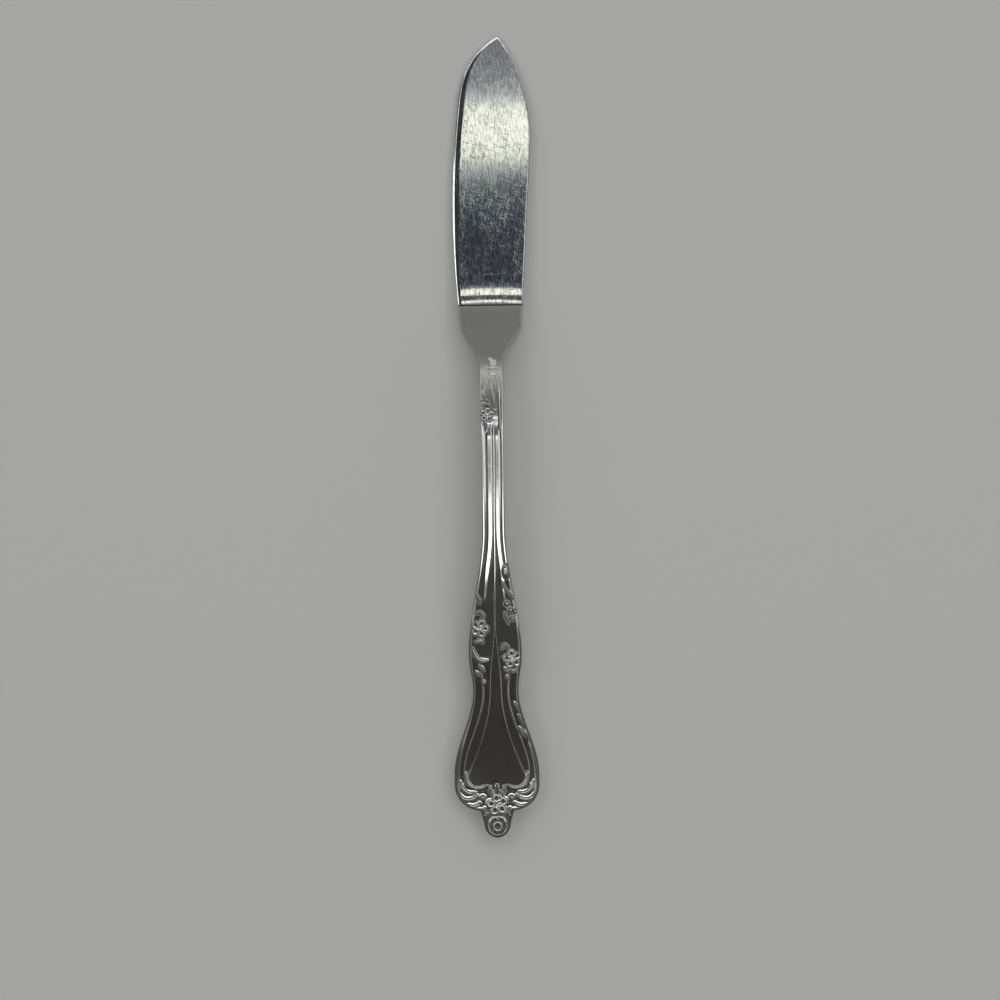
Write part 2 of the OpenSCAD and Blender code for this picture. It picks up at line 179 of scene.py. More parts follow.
def rolled_skin(name: str, rings: Field, dull_shade: Field, smooth_angle: float) -> bpy.types.Object:
    """Rolls a grid into a closed skin through rings of points, and caps its two ends.

    Args:
        name: Name of the new object.
        rings: Points in metres, in rows of rings, with each ring's first point repeated last.
        dull_shade: Dullness and painted shade of each point, from 0 to 1, in the same order.
        smooth_angle: Angle in degrees below which an edge is shaded smooth.

    Returns:
        The new object, with its faces outwards.
    """
    rows, columns, _ = rings.shape
    bpy.ops.object.select_all(action="DESELECT")
    bpy.ops.mesh.primitive_grid_add(x_subdivisions=columns - 1, y_subdivisions=rows - 1, size=1.0)
    skin = bpy.context.object
    skin.name = name
    skin.data.name = name
    flat = np.empty(3 * len(skin.data.vertices))
    skin.data.vertices.foreach_get("co", flat)
    flat = flat.reshape(-1, 3) + 0.5
    column = np.rint(flat[:, 0] * (columns - 1)).astype(int)
    row = np.rint(flat[:, 1] * (rows - 1)).astype(int)
    skin.data.vertices.foreach_set("co", rings[row, column].ravel())
    mark = skin.data.attributes.new(DULL_SHADE, "FLOAT", "POINT")
    mark.data.foreach_set("value", dull_shade[row, column].astype(np.float32))
    bpy.ops.object.mode_set(mode="EDIT")
    bpy.ops.mesh.select_all(action="SELECT")
    bpy.ops.mesh.remove_doubles(threshold=WELD)
    bpy.ops.mesh.fill_holes(sides=0)
    bpy.ops.mesh.normals_make_consistent(inside=False)
    bpy.ops.object.mode_set(mode="OBJECT")
    bpy.ops.object.shade_smooth_by_angle(angle=math.radians(smooth_angle))
    return skin


class Motif(Protocol):
    """One struck figure of a spray."""

    height: float

    def span(self) -> Point:
        """Lowest and highest place that the figure reaches."""

    def relief(self, x: Field, y: Field) -> tuple[Field, Field]:
        """Height of the figure, and the distance out from its edge."""


class Swell(Enum):
    """How the width of a struck line changes along it."""

    LEAF = "leaf"
    SCROLL = "scroll"


@dataclass(frozen=True)
class Stroke:
    """Leaf or scroll struck along a curve."""

    points: tuple[Point, ...]
    half: float
    swell: Swell = Swell.LEAF
    height: float = 0.42
    crown_power: float = 0.75
    vein: float = 0.1
    vein_share: float = 0.3
    leaf_tip: float = 0.3
    leaf_bow: float = 0.8
    scroll_tip: float = 0.5
    scroll_run: float = 0.25

    def mirrored(self) -> "Stroke":
        """The same stroke on the other side of the centre line."""
        return replace(self, points=tuple((-x, y) for x, y in self.points))

    def span(self) -> Point:
        """Lowest and highest place that the stroke reaches."""
        places = [y for _, y in self.points]
        return min(places) - self.half, max(places) + self.half

    def width_share(self, along: Field) -> Field:
        """Swells the stroke between its ends.

        Args:
            along: Shares of the length that are passed.

        Returns:
            Shares of the full width.
        """
        if self.swell is Swell.LEAF:
            swollen = np.sin(np.pi * along ** self.leaf_bow)
            return self.leaf_tip + (1.0 - self.leaf_tip) * swollen
        swollen = rise(np.minimum(along, 1.0 - along) / self.scroll_run)
        return self.scroll_tip + (1.0 - self.scroll_tip) * swollen

    def relief(self, x: Field, y: Field) -> tuple[Field, Field]:
        """Raises the stroke, and sinks the vein of a leaf.

        Args:
            x: Distances from the centre line.
            y: Places along the handle.

        Returns:
            Heights of the stroke, and distances out from its edge.
        """
        away, along = line_distance(x, y, smooth_line(self.points))
        half = self.half * self.width_share(along)
        body = self.height * np.clip(1.0 - (away / half) ** 2, 0.0, None) ** self.crown_power
        if self.swell is Swell.LEAF:
            body = body - np.minimum(body, bead(away, self.vein_share * half, self.vein))
        return body, away - half


@dataclass(frozen=True)
class RoundFigure:
    """Struck figure with a middle and a radius."""

    x: float
    y: float
    radius: float

    @property
    def reach(self) -> float:
        """Distance from the middle to the ends, along the handle."""
        return self.radius

    def span(self) -> Point:
        """Lowest and highest place that the figure reaches."""
        return self.y - self.reach, self.y + self.reach


@dataclass(frozen=True)
class Blossom(RoundFigure):
    """Open blossom: cupped petals round a raised boss, in shares of its radius."""

    turn: float = 90.0
    height: float = 0.4
    petals: int = 5
    petal_middle: float = 0.58
    petal_reach: float = 0.42
    petal_half: float = 0.3
    petal_flare: float = 0.1
    petal_mean: float = 0.38
    petal_steepness: int = 6
    cup_floor: float = 0.7
    cup_lip: float = 0.7
    boss_radius: float = 0.25
    boss_rise: float = 1.3

    def relief(self, x: Field, y: Field) -> tuple[Field, Field]:
        """Raises the petals one after another, and then the boss.

        Args:
            x: Distances from the centre line.
            y: Places along the handle.

        Returns:
            Heights of the blossom, and distances out from its edge.
        """
        across, along = (x - self.x) / self.radius, (y - self.y) / self.radius
        body = np.zeros(x.shape)
        gap = np.full(x.shape, np.inf)
        for petal in range(self.petals):
            angle = math.radians(self.turn + 360.0 * petal / self.petals)
            out = across * math.cos(angle) + along * math.sin(angle)
            side = along * math.cos(angle) - across * math.sin(angle)
            half = self.petal_half + self.petal_flare * np.clip(out, 0.0, 1.0)
            reach = np.hypot((out - self.petal_middle) / self.petal_reach, side / half)
            cup = self.height * (self.cup_floor + self.cup_lip * reach ** 2)
            wall = np.clip(1.0 - reach ** self.petal_steepness, 0.0, None) ** 0.5
            body = np.maximum(body, cup * wall)
            gap = np.minimum(gap, self.petal_mean * self.radius * (reach - 1.0))
        boss = np.hypot(across, along) / self.boss_radius
        dome = np.clip(1.0 - boss ** 2, 0.0, None) ** 0.5
        body = np.maximum(body, self.boss_rise * self.height * dome)
        return body, np.minimum(gap, self.boss_radius * self.radius * (boss - 1.0))


@dataclass(frozen=True)
class Berry(RoundFigure):
    """Round or oval bud."""

    stretch: float = 1.0
    height: float = 0.42
    crown_power: float = 0.6

    @property
    def reach(self) -> float:
        """Distance from the middle to the ends, along the handle."""
        return self.radius * self.stretch

    def relief(self, x: Field, y: Field) -> tuple[Field, Field]:
        """Raises the bud.

        Args:
            x: Distances from the centre line.
            y: Places along the handle.

        Returns:
            Heights of the bud, and distances out from its edge.
        """
        away = np.hypot(x - self.x, (y - self.y) / self.stretch) / self.radius
        body = self.height * np.clip(1.0 - away ** 2, 0.0, None) ** self.crown_power
        return body, self.radius * (away - 1.0)


@dataclass(frozen=True)
class Ring(RoundFigure):
    """Raised ring, as round the button."""

    half: float
    height: float = 0.35

    @property
    def reach(self) -> float:
        """Distance from the middle to the ends, along the handle."""
        return self.radius + self.half

    def relief(self, x: Field, y: Field) -> tuple[Field, Field]:
        """Height of the ring, and the distance out from its edge."""
        away = np.abs(np.hypot(x - self.x, y - self.y) - self.radius)
        return bead(away, self.half, self.height), away - self.half


def both_sides(strokes: Sequence[Stroke]) -> list[Stroke]:
    """Each stroke, followed by its mirror image."""
    return [side for stroke in strokes for side in (stroke, stroke.mirrored())]


def left_hip_spray() -> list[Motif]:
    """Places blossom, leaves and scroll on the left of the hip.

    Returns:
        The figures.
    """
    return [
        Blossom(-3.25, 44.6, 1.9, turn=70.0),
        Stroke(((-4.13, 52.1), (-3.63, 51.3), (-3.25, 50.7), (-3.25, 50.0)), 0.31),
        Stroke(((-4.0, 47.8), (-3.1, 48.0), (-2.5, 47.3), (-2.5, 46.8)), 0.33),
        Stroke(((-4.2, 41.7), (-3.5, 42.0), (-2.9, 42.1), (-2.7, 41.5)), 0.30, Swell.SCROLL),
        Stroke(((-4.8, 40.4), (-4.5, 39.4), (-3.8, 38.3), (-2.9, 37.7), (-1.7, 37.7)), 0.28,
               Swell.SCROLL),
        Stroke(((-3.5, 36.6), (-2.9, 36.0), (-2.4, 35.4)), 0.27),
        Stroke(((-4.1, 35.3), (-3.6, 34.4)), 0.25),
        Berry(-2.56, 33.1, 0.32),
    ]


def right_hip_spray() -> list[Motif]:
    """Places rosebud, berries, blossom and leaves on the right of the hip.

    Returns:
        The figures.
    """
    return [
        Berry(2.5, 56.8, 0.85, stretch=1.9, height=0.3),
        Stroke(((1.8, 57.2), (2.2, 58.0), (2.8, 57.7), (2.6, 56.9), (2.3, 56.4), (2.5, 55.6)), 0.21,
               Swell.SCROLL, height=0.55),
        Stroke(((3.05, 57.0), (2.95, 56.2), (3.05, 55.3)), 0.19, height=0.5),
        Stroke(((1.8, 54.2), (2.4, 53.2), (3.2, 52.0), (3.95, 50.9)), 0.30),
        Berry(2.65, 49.85, 0.58),
        Berry(3.4, 48.45, 0.55),
        Berry(4.45, 48.25, 0.42),
        Berry(3.72, 46.7, 0.5),
        Stroke(((2.15, 47.9), (2.5, 46.8), (2.95, 45.6)), 0.25, height=0.25),
        Blossom(3.65, 38.0, 2.0, turn=100.0),
        Stroke(((1.4, 40.2), (2.1, 41.0), (2.9, 40.5)), 0.37),
        Stroke(((2.0, 36.0), (2.7, 35.2)), 0.28),
        Stroke(((3.1, 35.5), (4.0, 35.2)), 0.27),
        Stroke(((4.3, 35.2), (5.1, 36.1)), 0.28),
        Berry(2.57, 34.1, 0.32),
    ]


def shoulder_leaflets() -> list[Motif]:
    """Places a row of leaflets over the right edge, between the waist and the body.

    Returns:
        The figures.
    """
    return [
        Stroke(((4.0, 28.6), (4.9, 27.2), (5.8, 25.9)), 0.31),
        Stroke(((4.8, 25.9), (5.8, 24.3), (6.7, 22.9)), 0.34),
        Stroke(((4.95, 23.3), (5.5, 22.3), (6.1, 21.4)), 0.31),
        Stroke(((6.2, 21.9), (6.8, 21.6), (7.5, 20.4), (8.1, 18.9)), 0.31),
    ]


def stem_spray() -> list[Motif]:
    """Places bud, stalks, leaves and blossom at the top of the stem.

    Returns:
        The figures.
    """
    return [
        Berry(-0.25, 103.3, 0.34, height=0.3),
        Ring(0.4, 102.5, 0.36, 0.28, height=0.3),
        Stroke(((-0.5, 101.3), (0.2, 101.5), (0.9, 101.3)), 0.22, Swell.SCROLL, height=0.3),
        Stroke(((-0.3, 99.8), (0.4, 99.95), (1.0, 99.8)), 0.19, Swell.SCROLL, height=0.25),
        Stroke(((-0.2, 98.6), (0.05, 96.6), (0.45, 94.6), (0.75, 92.4)), 0.21, Swell.SCROLL),
        Stroke(((0.9, 99.2), (1.5, 97.4), (1.75, 95.6), (1.7, 93.4), (1.8, 90.6), (1.7, 87.6)),
               0.22, Swell.SCROLL, height=0.36),
        Stroke(((-0.8, 98.5), (-1.4, 97.2), (-1.75, 95.8), (-1.55, 94.7)), 0.37),
        Stroke(((-2.2, 94.0), (-1.5, 94.2), (-0.5, 93.6)), 0.27),
        Stroke(((-2.1, 93.0), (-1.4, 92.9), (-0.4, 92.8)), 0.27),
        Blossom(-1.1, 90.9, 1.65, turn=80.0, height=0.32),
        Stroke(((-1.8, 89.2), (-1.4, 88.5), (-1.55, 87.4)), 0.30),
    ]


def end_spray() -> list[Motif]:
    """Places blossom, leaves and shell lobes at the end of the handle, with the ringed button.

    Returns:
        The figures.
    """
    lobes = [
        Stroke(((2.3, 11.1), (3.4, 10.65), (4.6, 10.6), (5.6, 11.0), (6.3, 11.9), (6.7, 13.6)),
               0.27, Swell.SCROLL),
        Stroke(((4.7, 9.6), (5.8, 9.45), (6.7, 9.9), (7.4, 10.7), (7.9, 11.9)), 0.27, Swell.SCROLL),
        Stroke(((4.3, 9.0), (5.2, 8.3), (6.3, 8.1), (7.3, 8.4), (7.9, 9.2)), 0.27, Swell.SCROLL),
        Stroke(((3.7, 7.4), (4.5, 6.85), (5.3, 6.7), (6.1, 7.0)), 0.25, Swell.SCROLL),
        Stroke(((1.15, 8.9), (1.45, 9.9), (1.6, 11.0)), 0.37),
        Stroke(((2.7, 6.3), (3.2, 5.5), (2.9, 4.7), (2.3, 4.9)), 0.26, Swell.SCROLL),
        Stroke(((0.05, 3.8), (0.65, 4.45), (1.4, 4.2), (2.0, 3.3)), 0.28, Swell.SCROLL),
    ]
    return [
        *both_sides(lobes),
        Stroke(((0.0, 9.0), (0.0, 10.2), (0.0, 11.2)), 0.37),
        Berry(-3.1, 8.5, 0.52),
        Berry(3.1, 8.5, 0.52),
        Blossom(0.0, 7.0, 2.3, turn=100.0, height=0.44),
        Ring(0.0, 2.5, 1.95, 0.24, height=0.3),
        Ring(0.0, 2.4, 0.85, 0.32),
    ]


@dataclass(frozen=True)
class HandleForm:
    """Outline and plain section of the handle, in millimetres from its end."""

    length: float
    body_half: float
    heel_half: float = 7.15
    button_radius: float = 2.8
    end_flat: float = 0.3
    lobe_radius: float = 5.5
    lobe_place: float = 11.2
    body_place: float = 13.5
    waist_half: float = 4.85
    waist_place: float = 31.3
    hip_half: float = 5.7
    hip_place: float = 38.8
    stem_half: float = 2.45
    stem_place: float = 66.0
    stem_top_half: float = 2.5
    neck_length: float = 16.0
    neck_flare: float = 11.6
    flare_bias: float = 1.54
    neck_half: float = 6.85
    field_rise: float = 1.6
    arch_rise: float = 3.0
    arch_run: float = 28.0
    neck_slope_run: float = 12.0
    foot_length: float = 8.0
    neck_thick: float = 2.4
    neck_crown: float = 0.25
    body_edge: float = 1.8
    body_crown: float = 0.7
    stem_edge: float = 2.6
    stem_crown: float = 0.4
    body_fullness: float = 30.0
    stem_fullness: float = 40.0
    neck_fullness: float = 100.0

    @property
    def neck_place(self) -> float:
        """Place where the stem passes into the neck."""
        return self.length - self.neck_length

    @property
    def field_top(self) -> float:
        """Place from which the decorated field is arched over."""
        return self.neck_place + self.field_rise

    @property
    def lobe_centre(self) -> float:
        """Distance of the middle of a lobe from the centre line."""
        return self.body_half - self.lobe_radius

    @property
    def lobe_foot(self) -> float:
        """Place where the lobes spring from the collar above the button."""
        return self.lobe_place - self.lobe_radius

    def half_width(self, y: Field) -> Field:
        """Follows the outline from the button over lobes, body, waist, hip and stem to the neck.

        Args:
            y: Places along the handle.

        Returns:
            Half widths there.
        """
        button = half_chord(self.button_radius, y - self.button_radius)
        collar = (y - self.button_radius) / (self.lobe_foot - self.button_radius)
        places = [y < self.button_radius, y < self.lobe_foot, y < self.lobe_place,
                  y < self.body_place]
        widths = [
            np.maximum(button, self.end_flat),
            self.button_radius + (self.lobe_centre - self.button_radius) * collar,
            self.lobe_centre + half_chord(self.lobe_radius, self.lobe_place - y),
            np.full(y.shape, self.body_half),
        ]
        stations = [
            (self.body_place, self.body_half),
            (self.waist_place, self.waist_half),
            (self.hip_place, self.hip_half),
            (self.stem_place, self.stem_half),
            (self.neck_place, self.stem_top_half),
        ]
        for (start, wide), (end, next_wide) in zip(stations[:-1], stations[1:]):
            places.append(y < end)
            widths.append(blend(wide, next_wide, (y - start) / (end - start)))
        flare = np.clip((y - self.neck_place) / self.neck_flare, 0.0, 1.0) ** self.flare_bias
        heel_start = self.neck_place + self.neck_flare
        places.append(y < heel_start)
        widths.append(blend(self.stem_top_half, self.neck_half, flare))
        heel = (y - heel_start) / (self.length - heel_start)
        return np.select(places, widths, self.neck_half + (self.heel_half - self.neck_half) * heel)

    def stem_share(self, y: Field) -> Field:
        """Share of the way from the hip to the slim stem."""
        return (y - self.hip_place) / (self.stem_place - self.hip_place)

    def neck_share(self, y: Field) -> Field:
        """Share of the way along the neck."""
        return (y - self.neck_place) / self.neck_length

    def arch_fall(self, share: Field) -> Field:
        """Fall of the arch to the shoulder line: a straight slope that then levels out.

        Args:
            share: Shares of the arch's run, counted back from the shoulder line.

        Returns:
            Shares of the arch's rise.
        """
        straight = self.neck_slope_run / self.arch_run
        level = 1.0 - (1.0 - np.clip(share, 0.0, 1.0)) ** 2 / (1.0 - straight ** 2)
        return np.where(share < straight, 2.0 * share / (1.0 + straight), level)

    def back_height(self, y: Field) -> Field:
        """Height of the back above the table."""
        lift = rise((y - self.foot_length) / (self.stem_place - self.foot_length))
        return self.arch_rise * lift * self.arch_fall((self.length - y) / self.arch_run)

    def edge_height(self, y: Field) -> Field:
        """Height of the side wall."""
        stem = blend(self.body_edge, self.stem_edge, self.stem_share(y))
        return blend(stem, self.neck_thick - self.neck_crown, self.neck_share(y))

    def crown(self, x: Field, y: Field) -> Field:
        """Rounds the plain face over its width, fuller on the stem and the neck.

        Args:
            x: Distances from the centre line.
            y: Places along the handle.

        Returns:
            Heights above the side wall.
        """
        stem = blend(self.body_crown, self.stem_crown, self.stem_share(y))
        high = blend(stem, self.neck_crown, self.neck_share(y))
        power = blend(self.body_fullness, self.stem_fullness, self.stem_share(y))
        power = blend(power, self.neck_fullness, (y - self.neck_place) / self.neck_flare)
        return high * (1.0 - np.clip(np.abs(x) / self.half_width(y), 0.0, 1.0) ** power)

    def inset(self, x: Field, y: Field) -> Field:
        """Distance in from the outline, exact round the lobes and the button.

        Args:
            x: Distances from the centre line, in rows of equal y.
            y: Places along the handle, of the same shape.

        Returns:
            The distances.
        """
        step, exact_run, side_run, side_step = 0.01, 2.0, 6.0, 0.4
        half = self.half_width(y)
        lean = (self.half_width(y + step) - self.half_width(y - step)) / (2.0 * step)
        inset = (half - np.abs(x)) / np.hypot(1.0, lean)
        end = y[:, 0] < self.body_place + exact_run
        turn = np.radians(np.arange(0.0, 91.0, 3.0))
        arc = np.stack([np.sin(turn), 1.0 - np.cos(turn)], 1)
        button = self.button_radius * arc
        lobe = self.lobe_radius * arc + [self.lobe_centre, self.lobe_foot]
        body = np.arange(self.body_place, self.body_place + side_run, side_step)
        side = np.stack([self.half_width(body), body], 1)
        line = np.vstack([button, lobe, side])
        inset[end] = line_distance(np.abs(x[end]), y[end], line)[0]
        return np.clip(inset, 0.0, None)


@dataclass(frozen=True)
class DullShadedGround:
    """Where polishing doesn't reach and where shade is painted into the colour: beside figures, in
    the flutes, at the end and the edges.
    """

    form: HandleForm
    # Each share below both roughens the steel and darkens its colour with painted shade.
    crest_start: float = 0.76
    crest_run: float = 0.22
    figure_halo: float = 0.3
    figure_dull_shade: float = 0.95
    spray_dull_shade: float = 0.3
    spray_reach: float = 9.0
    spray_fade: float = 5.0
    end_dull_shade: float = 0.93
    end_place: float = 6.2
    end_fade: float = 1.5
    stem_dull_shade: float = 0.85
    stem_dull_place: float = 55.0
    stem_dull_run: float = 5.0
    top_dull_shade: float = 0.1
    top_dull_run: float = 9.0
    flute_start: float = 0.005
    flute_run: float = 0.02
    hip_foot: float = 38.4
    hip_foot_run: float = 0.1
    hip_top: float = 53.0
    hip_top_run: float = 3.0
    hip_inset: float = 0.45
    hip_inset_run: float = 0.25
    edge_dull_shade: float = 0.9
    edge_wear: float = 0.4
    edge_inset: float = 0.3
    edge_run: float = 0.3
    wear_place: float = 4.0
    wear_run: float = 5.0
    fine_fade: float = 4.0
    fine_inset: float = 0.26
    fine_run: float = 0.18
    broad_inset: float = 0.5
    broad_place: float = 21.0
    broad_run: float = 4.0
    broad_end: float = 0.7
    broad_end_place: float = 14.0
    broad_end_run: float = 3.0

    def figures(self, y: Field, share: Field, gap: Field) -> Field:
        """Flanks of the figures and the ground close to them, and the ground round the button.

        Args:
            y: Places along the handle.
            share: Shares of the full height of the figure there.
            gap: Distances out from the nearest figure.

        Returns:
            Shares of dullness and painted shade, 0 on the polished crests.
        """
        crest = rise((share - self.crest_start) / self.crest_run)
        # Painted shade, with dulling, on the flanks of the figures and the ground close to them.
        dull_shading = blend(self.figure_dull_shade, self.spray_dull_shade,
                     (y - self.form.field_top + self.spray_reach) / self.spray_fade)
        flanks = dull_shading * (1.0 - rise(gap / self.figure_halo))
        # Painted shade: the steel round the button is darkened.
        end = self.end_dull_shade * rise((self.end_place - y) / self.end_fade)
        return np.maximum(flanks, end) * (1.0 - crest)

    def flutes(self, y: Field, inset: Field, border: Field, ground: Field) -> Field:
        """Floors of the flutes, and the plain ground beside the panel at the hips.

        Args:
            y: Places along the handle.
            inset: Distances in from the outline.
            border: Heights of the border, which are below 0 in the flutes.
            ground: 1 on plain ground, falling to 0 at the figures and the panel.

        Returns:
            Shares of dullness and painted shade.
        """
        # Painted shade, with dulling, on the floors of the flutes, weaker towards the neck.
        stem = blend(1.0, self.stem_dull_shade, (y - self.stem_dull_place) / self.stem_dull_run)
        worn = blend(stem, self.top_dull_shade, (y - self.form.stem_place) / self.top_dull_run)
        hips = rise((self.hip_top - y) / self.hip_top_run)
        hips = hips * rise((inset - self.hip_inset) / self.hip_inset_run) * ground
        sunk = np.maximum(rise((-border - self.flute_start) / self.flute_run), hips)
        return worn * rise((y - self.hip_foot) / self.hip_foot_run) * sunk

    def edges(self, y: Field, inset: Field) -> Field:
        """Rounded edges: broad along the body, and worn and fine on the stem.

        Args:
            y: Places along the handle.
            inset: Distances in from the outline.

        Returns:
            Shares of dullness and painted shade.
        """
        end = rise((self.broad_end_place - y) / self.broad_end_run)
        broad = rise((self.broad_place - y) / self.broad_run) * (1.0 - self.broad_end * end)
        worn = rise((y - self.form.hip_place - self.wear_place) / self.wear_run)
        fine = worn * (1.0 - rise((y - self.form.neck_place) / self.fine_fade))
        inside = inset - self.edge_inset + self.fine_inset * fine - self.broad_inset * broad
        polished = rise(inside / (self.edge_run - self.fine_run * fine))
        # Painted shade, with dulling, along the rounded edges.
        return (self.edge_dull_shade - self.edge_wear * worn) * (1.0 - polished)


@dataclass(frozen=True)
class StruckFace:
    """Relief of the handle's face: rim, ribs, flutes, panel and sprays."""

    form: HandleForm
    motifs: tuple[Motif, ...]
    dull_shading: DullShadedGround
    edge_round: float = 0.2
    neck_round: float = 0.06
    neck_round_run: float = 3.0
    rim_inset: float = 0.36
    rim_flat: float = 0.1
    rib_inset_stem: float = 1.62
    rib_inset_body: float = 2.2
    rib_flat_stem: float = 0.34
    rib_flat_body: float = 0.05
    rib_calm: float = 0.85
    rib_calm_place: float = 37.0
    flank_stem: float = 0.26
    flank_body: float = 0.2
    flute_stem: float = 0.25
    flute_body: float = 0.03
    slim_half: float = 3.0
    slim_run: float = 1.6
    drift: float = 0.18
    panel_mouth: float = 7.2
    panel_waist: float = 1.1
    panel_line: float = 0.07
    panel_edge: float = 0.1
    panel_bow: float = 1.8
    panel_past: float = 1.2
    panel_calm: float = 0.8
    panel_calm_place: float = 40.0
    split_place: float = 47.0
    calm_run: float = 4.0
    calm_top: float = 52.0
    calm_top_run: float = 7.0
    lip_drop: float = 0.9
    lip_run: float = 0.5
    spray_run: float = 10.6
    spray_fade: float = 5.0
    ground_depth: float = 0.01
    ground_start: float = 0.1
    ground_run: float = 0.5
    figure_clear: float = 0.4
    figure_inset: float = 0.3
    strike: float = 0.72

    def slim_share(self, y: Field) -> Field:
        """1 on the slim stem, falling to 0 at the hips."""
        return 1.0 - rise((self.form.half_width(y) - self.slim_half) / self.slim_run)

    def panel_half(self, y: Field) -> Field:
        """Opens the plain panel from a line on the stem to a wide mouth.

        Args:
            y: Places along the handle.

        Returns:
            Half widths of the panel.
        """
        waist, mouth = self.form.waist_place, self.form.lobe_place
        stem = self.panel_waist * rise((self.split_place - y) / (self.split_place - waist))
        open_share = np.clip((waist - y) / (waist - mouth), 0.0, self.panel_past)
        widening = (self.panel_mouth - self.panel_waist) * open_share ** self.panel_bow
        return np.where(y > waist, np.maximum(stem, self.panel_line), self.panel_waist + widening)

    def fall(self, away: Field, depth: Field, flank: Field) -> Field:
        """Fall of a flute beside a crest: a straight flank that then levels out."""
        return depth * (1.0 - np.exp(-flank * np.clip(away, 0.0, None) / depth))

    def below_spray(self, y: Field) -> Field:
        """1 below the spray on the stem, falling to 0 beside it."""
        return rise((self.form.field_top - self.spray_run - y) / self.spray_fade)

    def calm(self, share: Field, y: Field, start: float) -> Field:
        """Share by which a crest dies out between the sprays on the hips."""
        fade = rise((self.calm_top - y) / self.calm_top_run)
        return share * rise((y - start) / self.calm_run) * fade

    def border(self, x: Field, y: Field, inset: Field) -> Field:
        """Flutes between the crests of rim, ribs and panel, which fade out towards the neck.

        Args:
            x: Distances from the centre line, in rows of equal y.
            y: Places along the handle, of the same shape.
            inset: Distances in from the outline.

        Returns:
            Heights below the crests.
        """
        form = self.form
        slim = self.slim_share(y)
        below_spray = self.below_spray(y)
        above_lip = rise((y - form.lobe_place + self.lip_drop) / self.lip_run)
        depth = self.flute_body + (self.flute_stem - self.flute_body) * slim ** 2 * below_spray
        shift = self.drift * slim * np.clip(1.0 - (x / form.half_width(y)) ** 2, 0.0, None)
        rib_inset = self.rib_inset_body + (self.rib_inset_stem - self.rib_inset_body) * slim
        rib_flat = self.rib_flat_body + (self.rib_flat_stem - self.rib_flat_body) * slim
        flank = self.flank_body + (self.flank_stem - self.flank_body) * slim
        rim = self.fall(np.abs(inset - self.rim_inset) - self.rim_flat, depth, flank)
        rib = self.fall(np.abs(inset + np.sign(x) * shift - rib_inset) - rib_flat, depth, flank)
        rib = rib * (1.0 - self.calm(self.rib_calm * (x > 0.0), y, self.rib_calm_place))
        panel = self.fall(np.abs(x - shift) - self.panel_half(y), depth, flank)
        panel = panel * (1.0 - self.calm(self.panel_calm * (x < 0.0), y, self.panel_calm_place))
        inner = depth + (np.minimum(rib, panel) - depth) * below_spray * above_lip
        return -np.minimum(rim, inner) * rise((form.field_top - y) / self.spray_run)

    def figures(self, x: Field, y: Field) -> tuple[Field, Field, Field]:
        """Works out all the struck figures together.

        Args:
            x: Distances from the centre line, in rows of equal y.
            y: Places along the handle, of the same shape.

        Returns:
            Heights, shares of the full height of the figure there, and the distances out from the
            nearest figure.
        """
        margin, far = 1.0, 9.0
        body = np.zeros(x.shape)
        share = np.zeros(x.shape)
        gap = np.full(x.shape, far)
        for motif in self.motifs:
            low, high = motif.span()
            near = (y[:, 0] > low - margin) & (y[:, 0] < high + margin)
            high_here, gap_here = motif.relief(x[near], y[near])
            share[near] = np.where(high_here > body[near], high_here / motif.height, share[near])
            body[near] = np.maximum(body[near], high_here)
            gap[near] = np.minimum(gap[near], gap_here)
        return body, share, gap

    def relief(self, x: Field, y: Field) -> tuple[Field, Field]:
        """Height of the relief above the plain crown, and how dull and how darkened by painted
        shade each point is.

        Args:
            x: Distances from the centre line, in rows of equal y.
            y: Places along the handle, of the same shape.

        Returns:
            Heights in millimetres, and the share of dullness and painted shade, from 0 on the
            polished face to 1 in a recess.
        """
        inset = self.form.inset(x, y)
        figure, share, gap = self.figures(x, y)
        clear = rise(gap / self.figure_clear)
        sunk = 1.0 - rise((gap - self.ground_start) / self.ground_run)
        ground = self.ground_depth * sunk * rise(inset / self.ground_run)
        edge = blend(self.edge_round, self.neck_round,
                     (y - self.form.field_top) / self.neck_round_run)
        border = clear * self.border(x, y, inset)
        struck = self.strike * figure * rise(inset / self.figure_inset)
        high = border - ground + struck - round_over(inset, edge)
        plain = clear * rise((np.abs(x) - self.panel_half(y)) / self.panel_edge)
        return high, np.maximum.reduce([
            self.dull_shading.figures(y, share, gap),
            self.dull_shading.flutes(y, inset, border, plain) * self.below_spray(y),
            self.dull_shading.edges(y, inset),
        ])


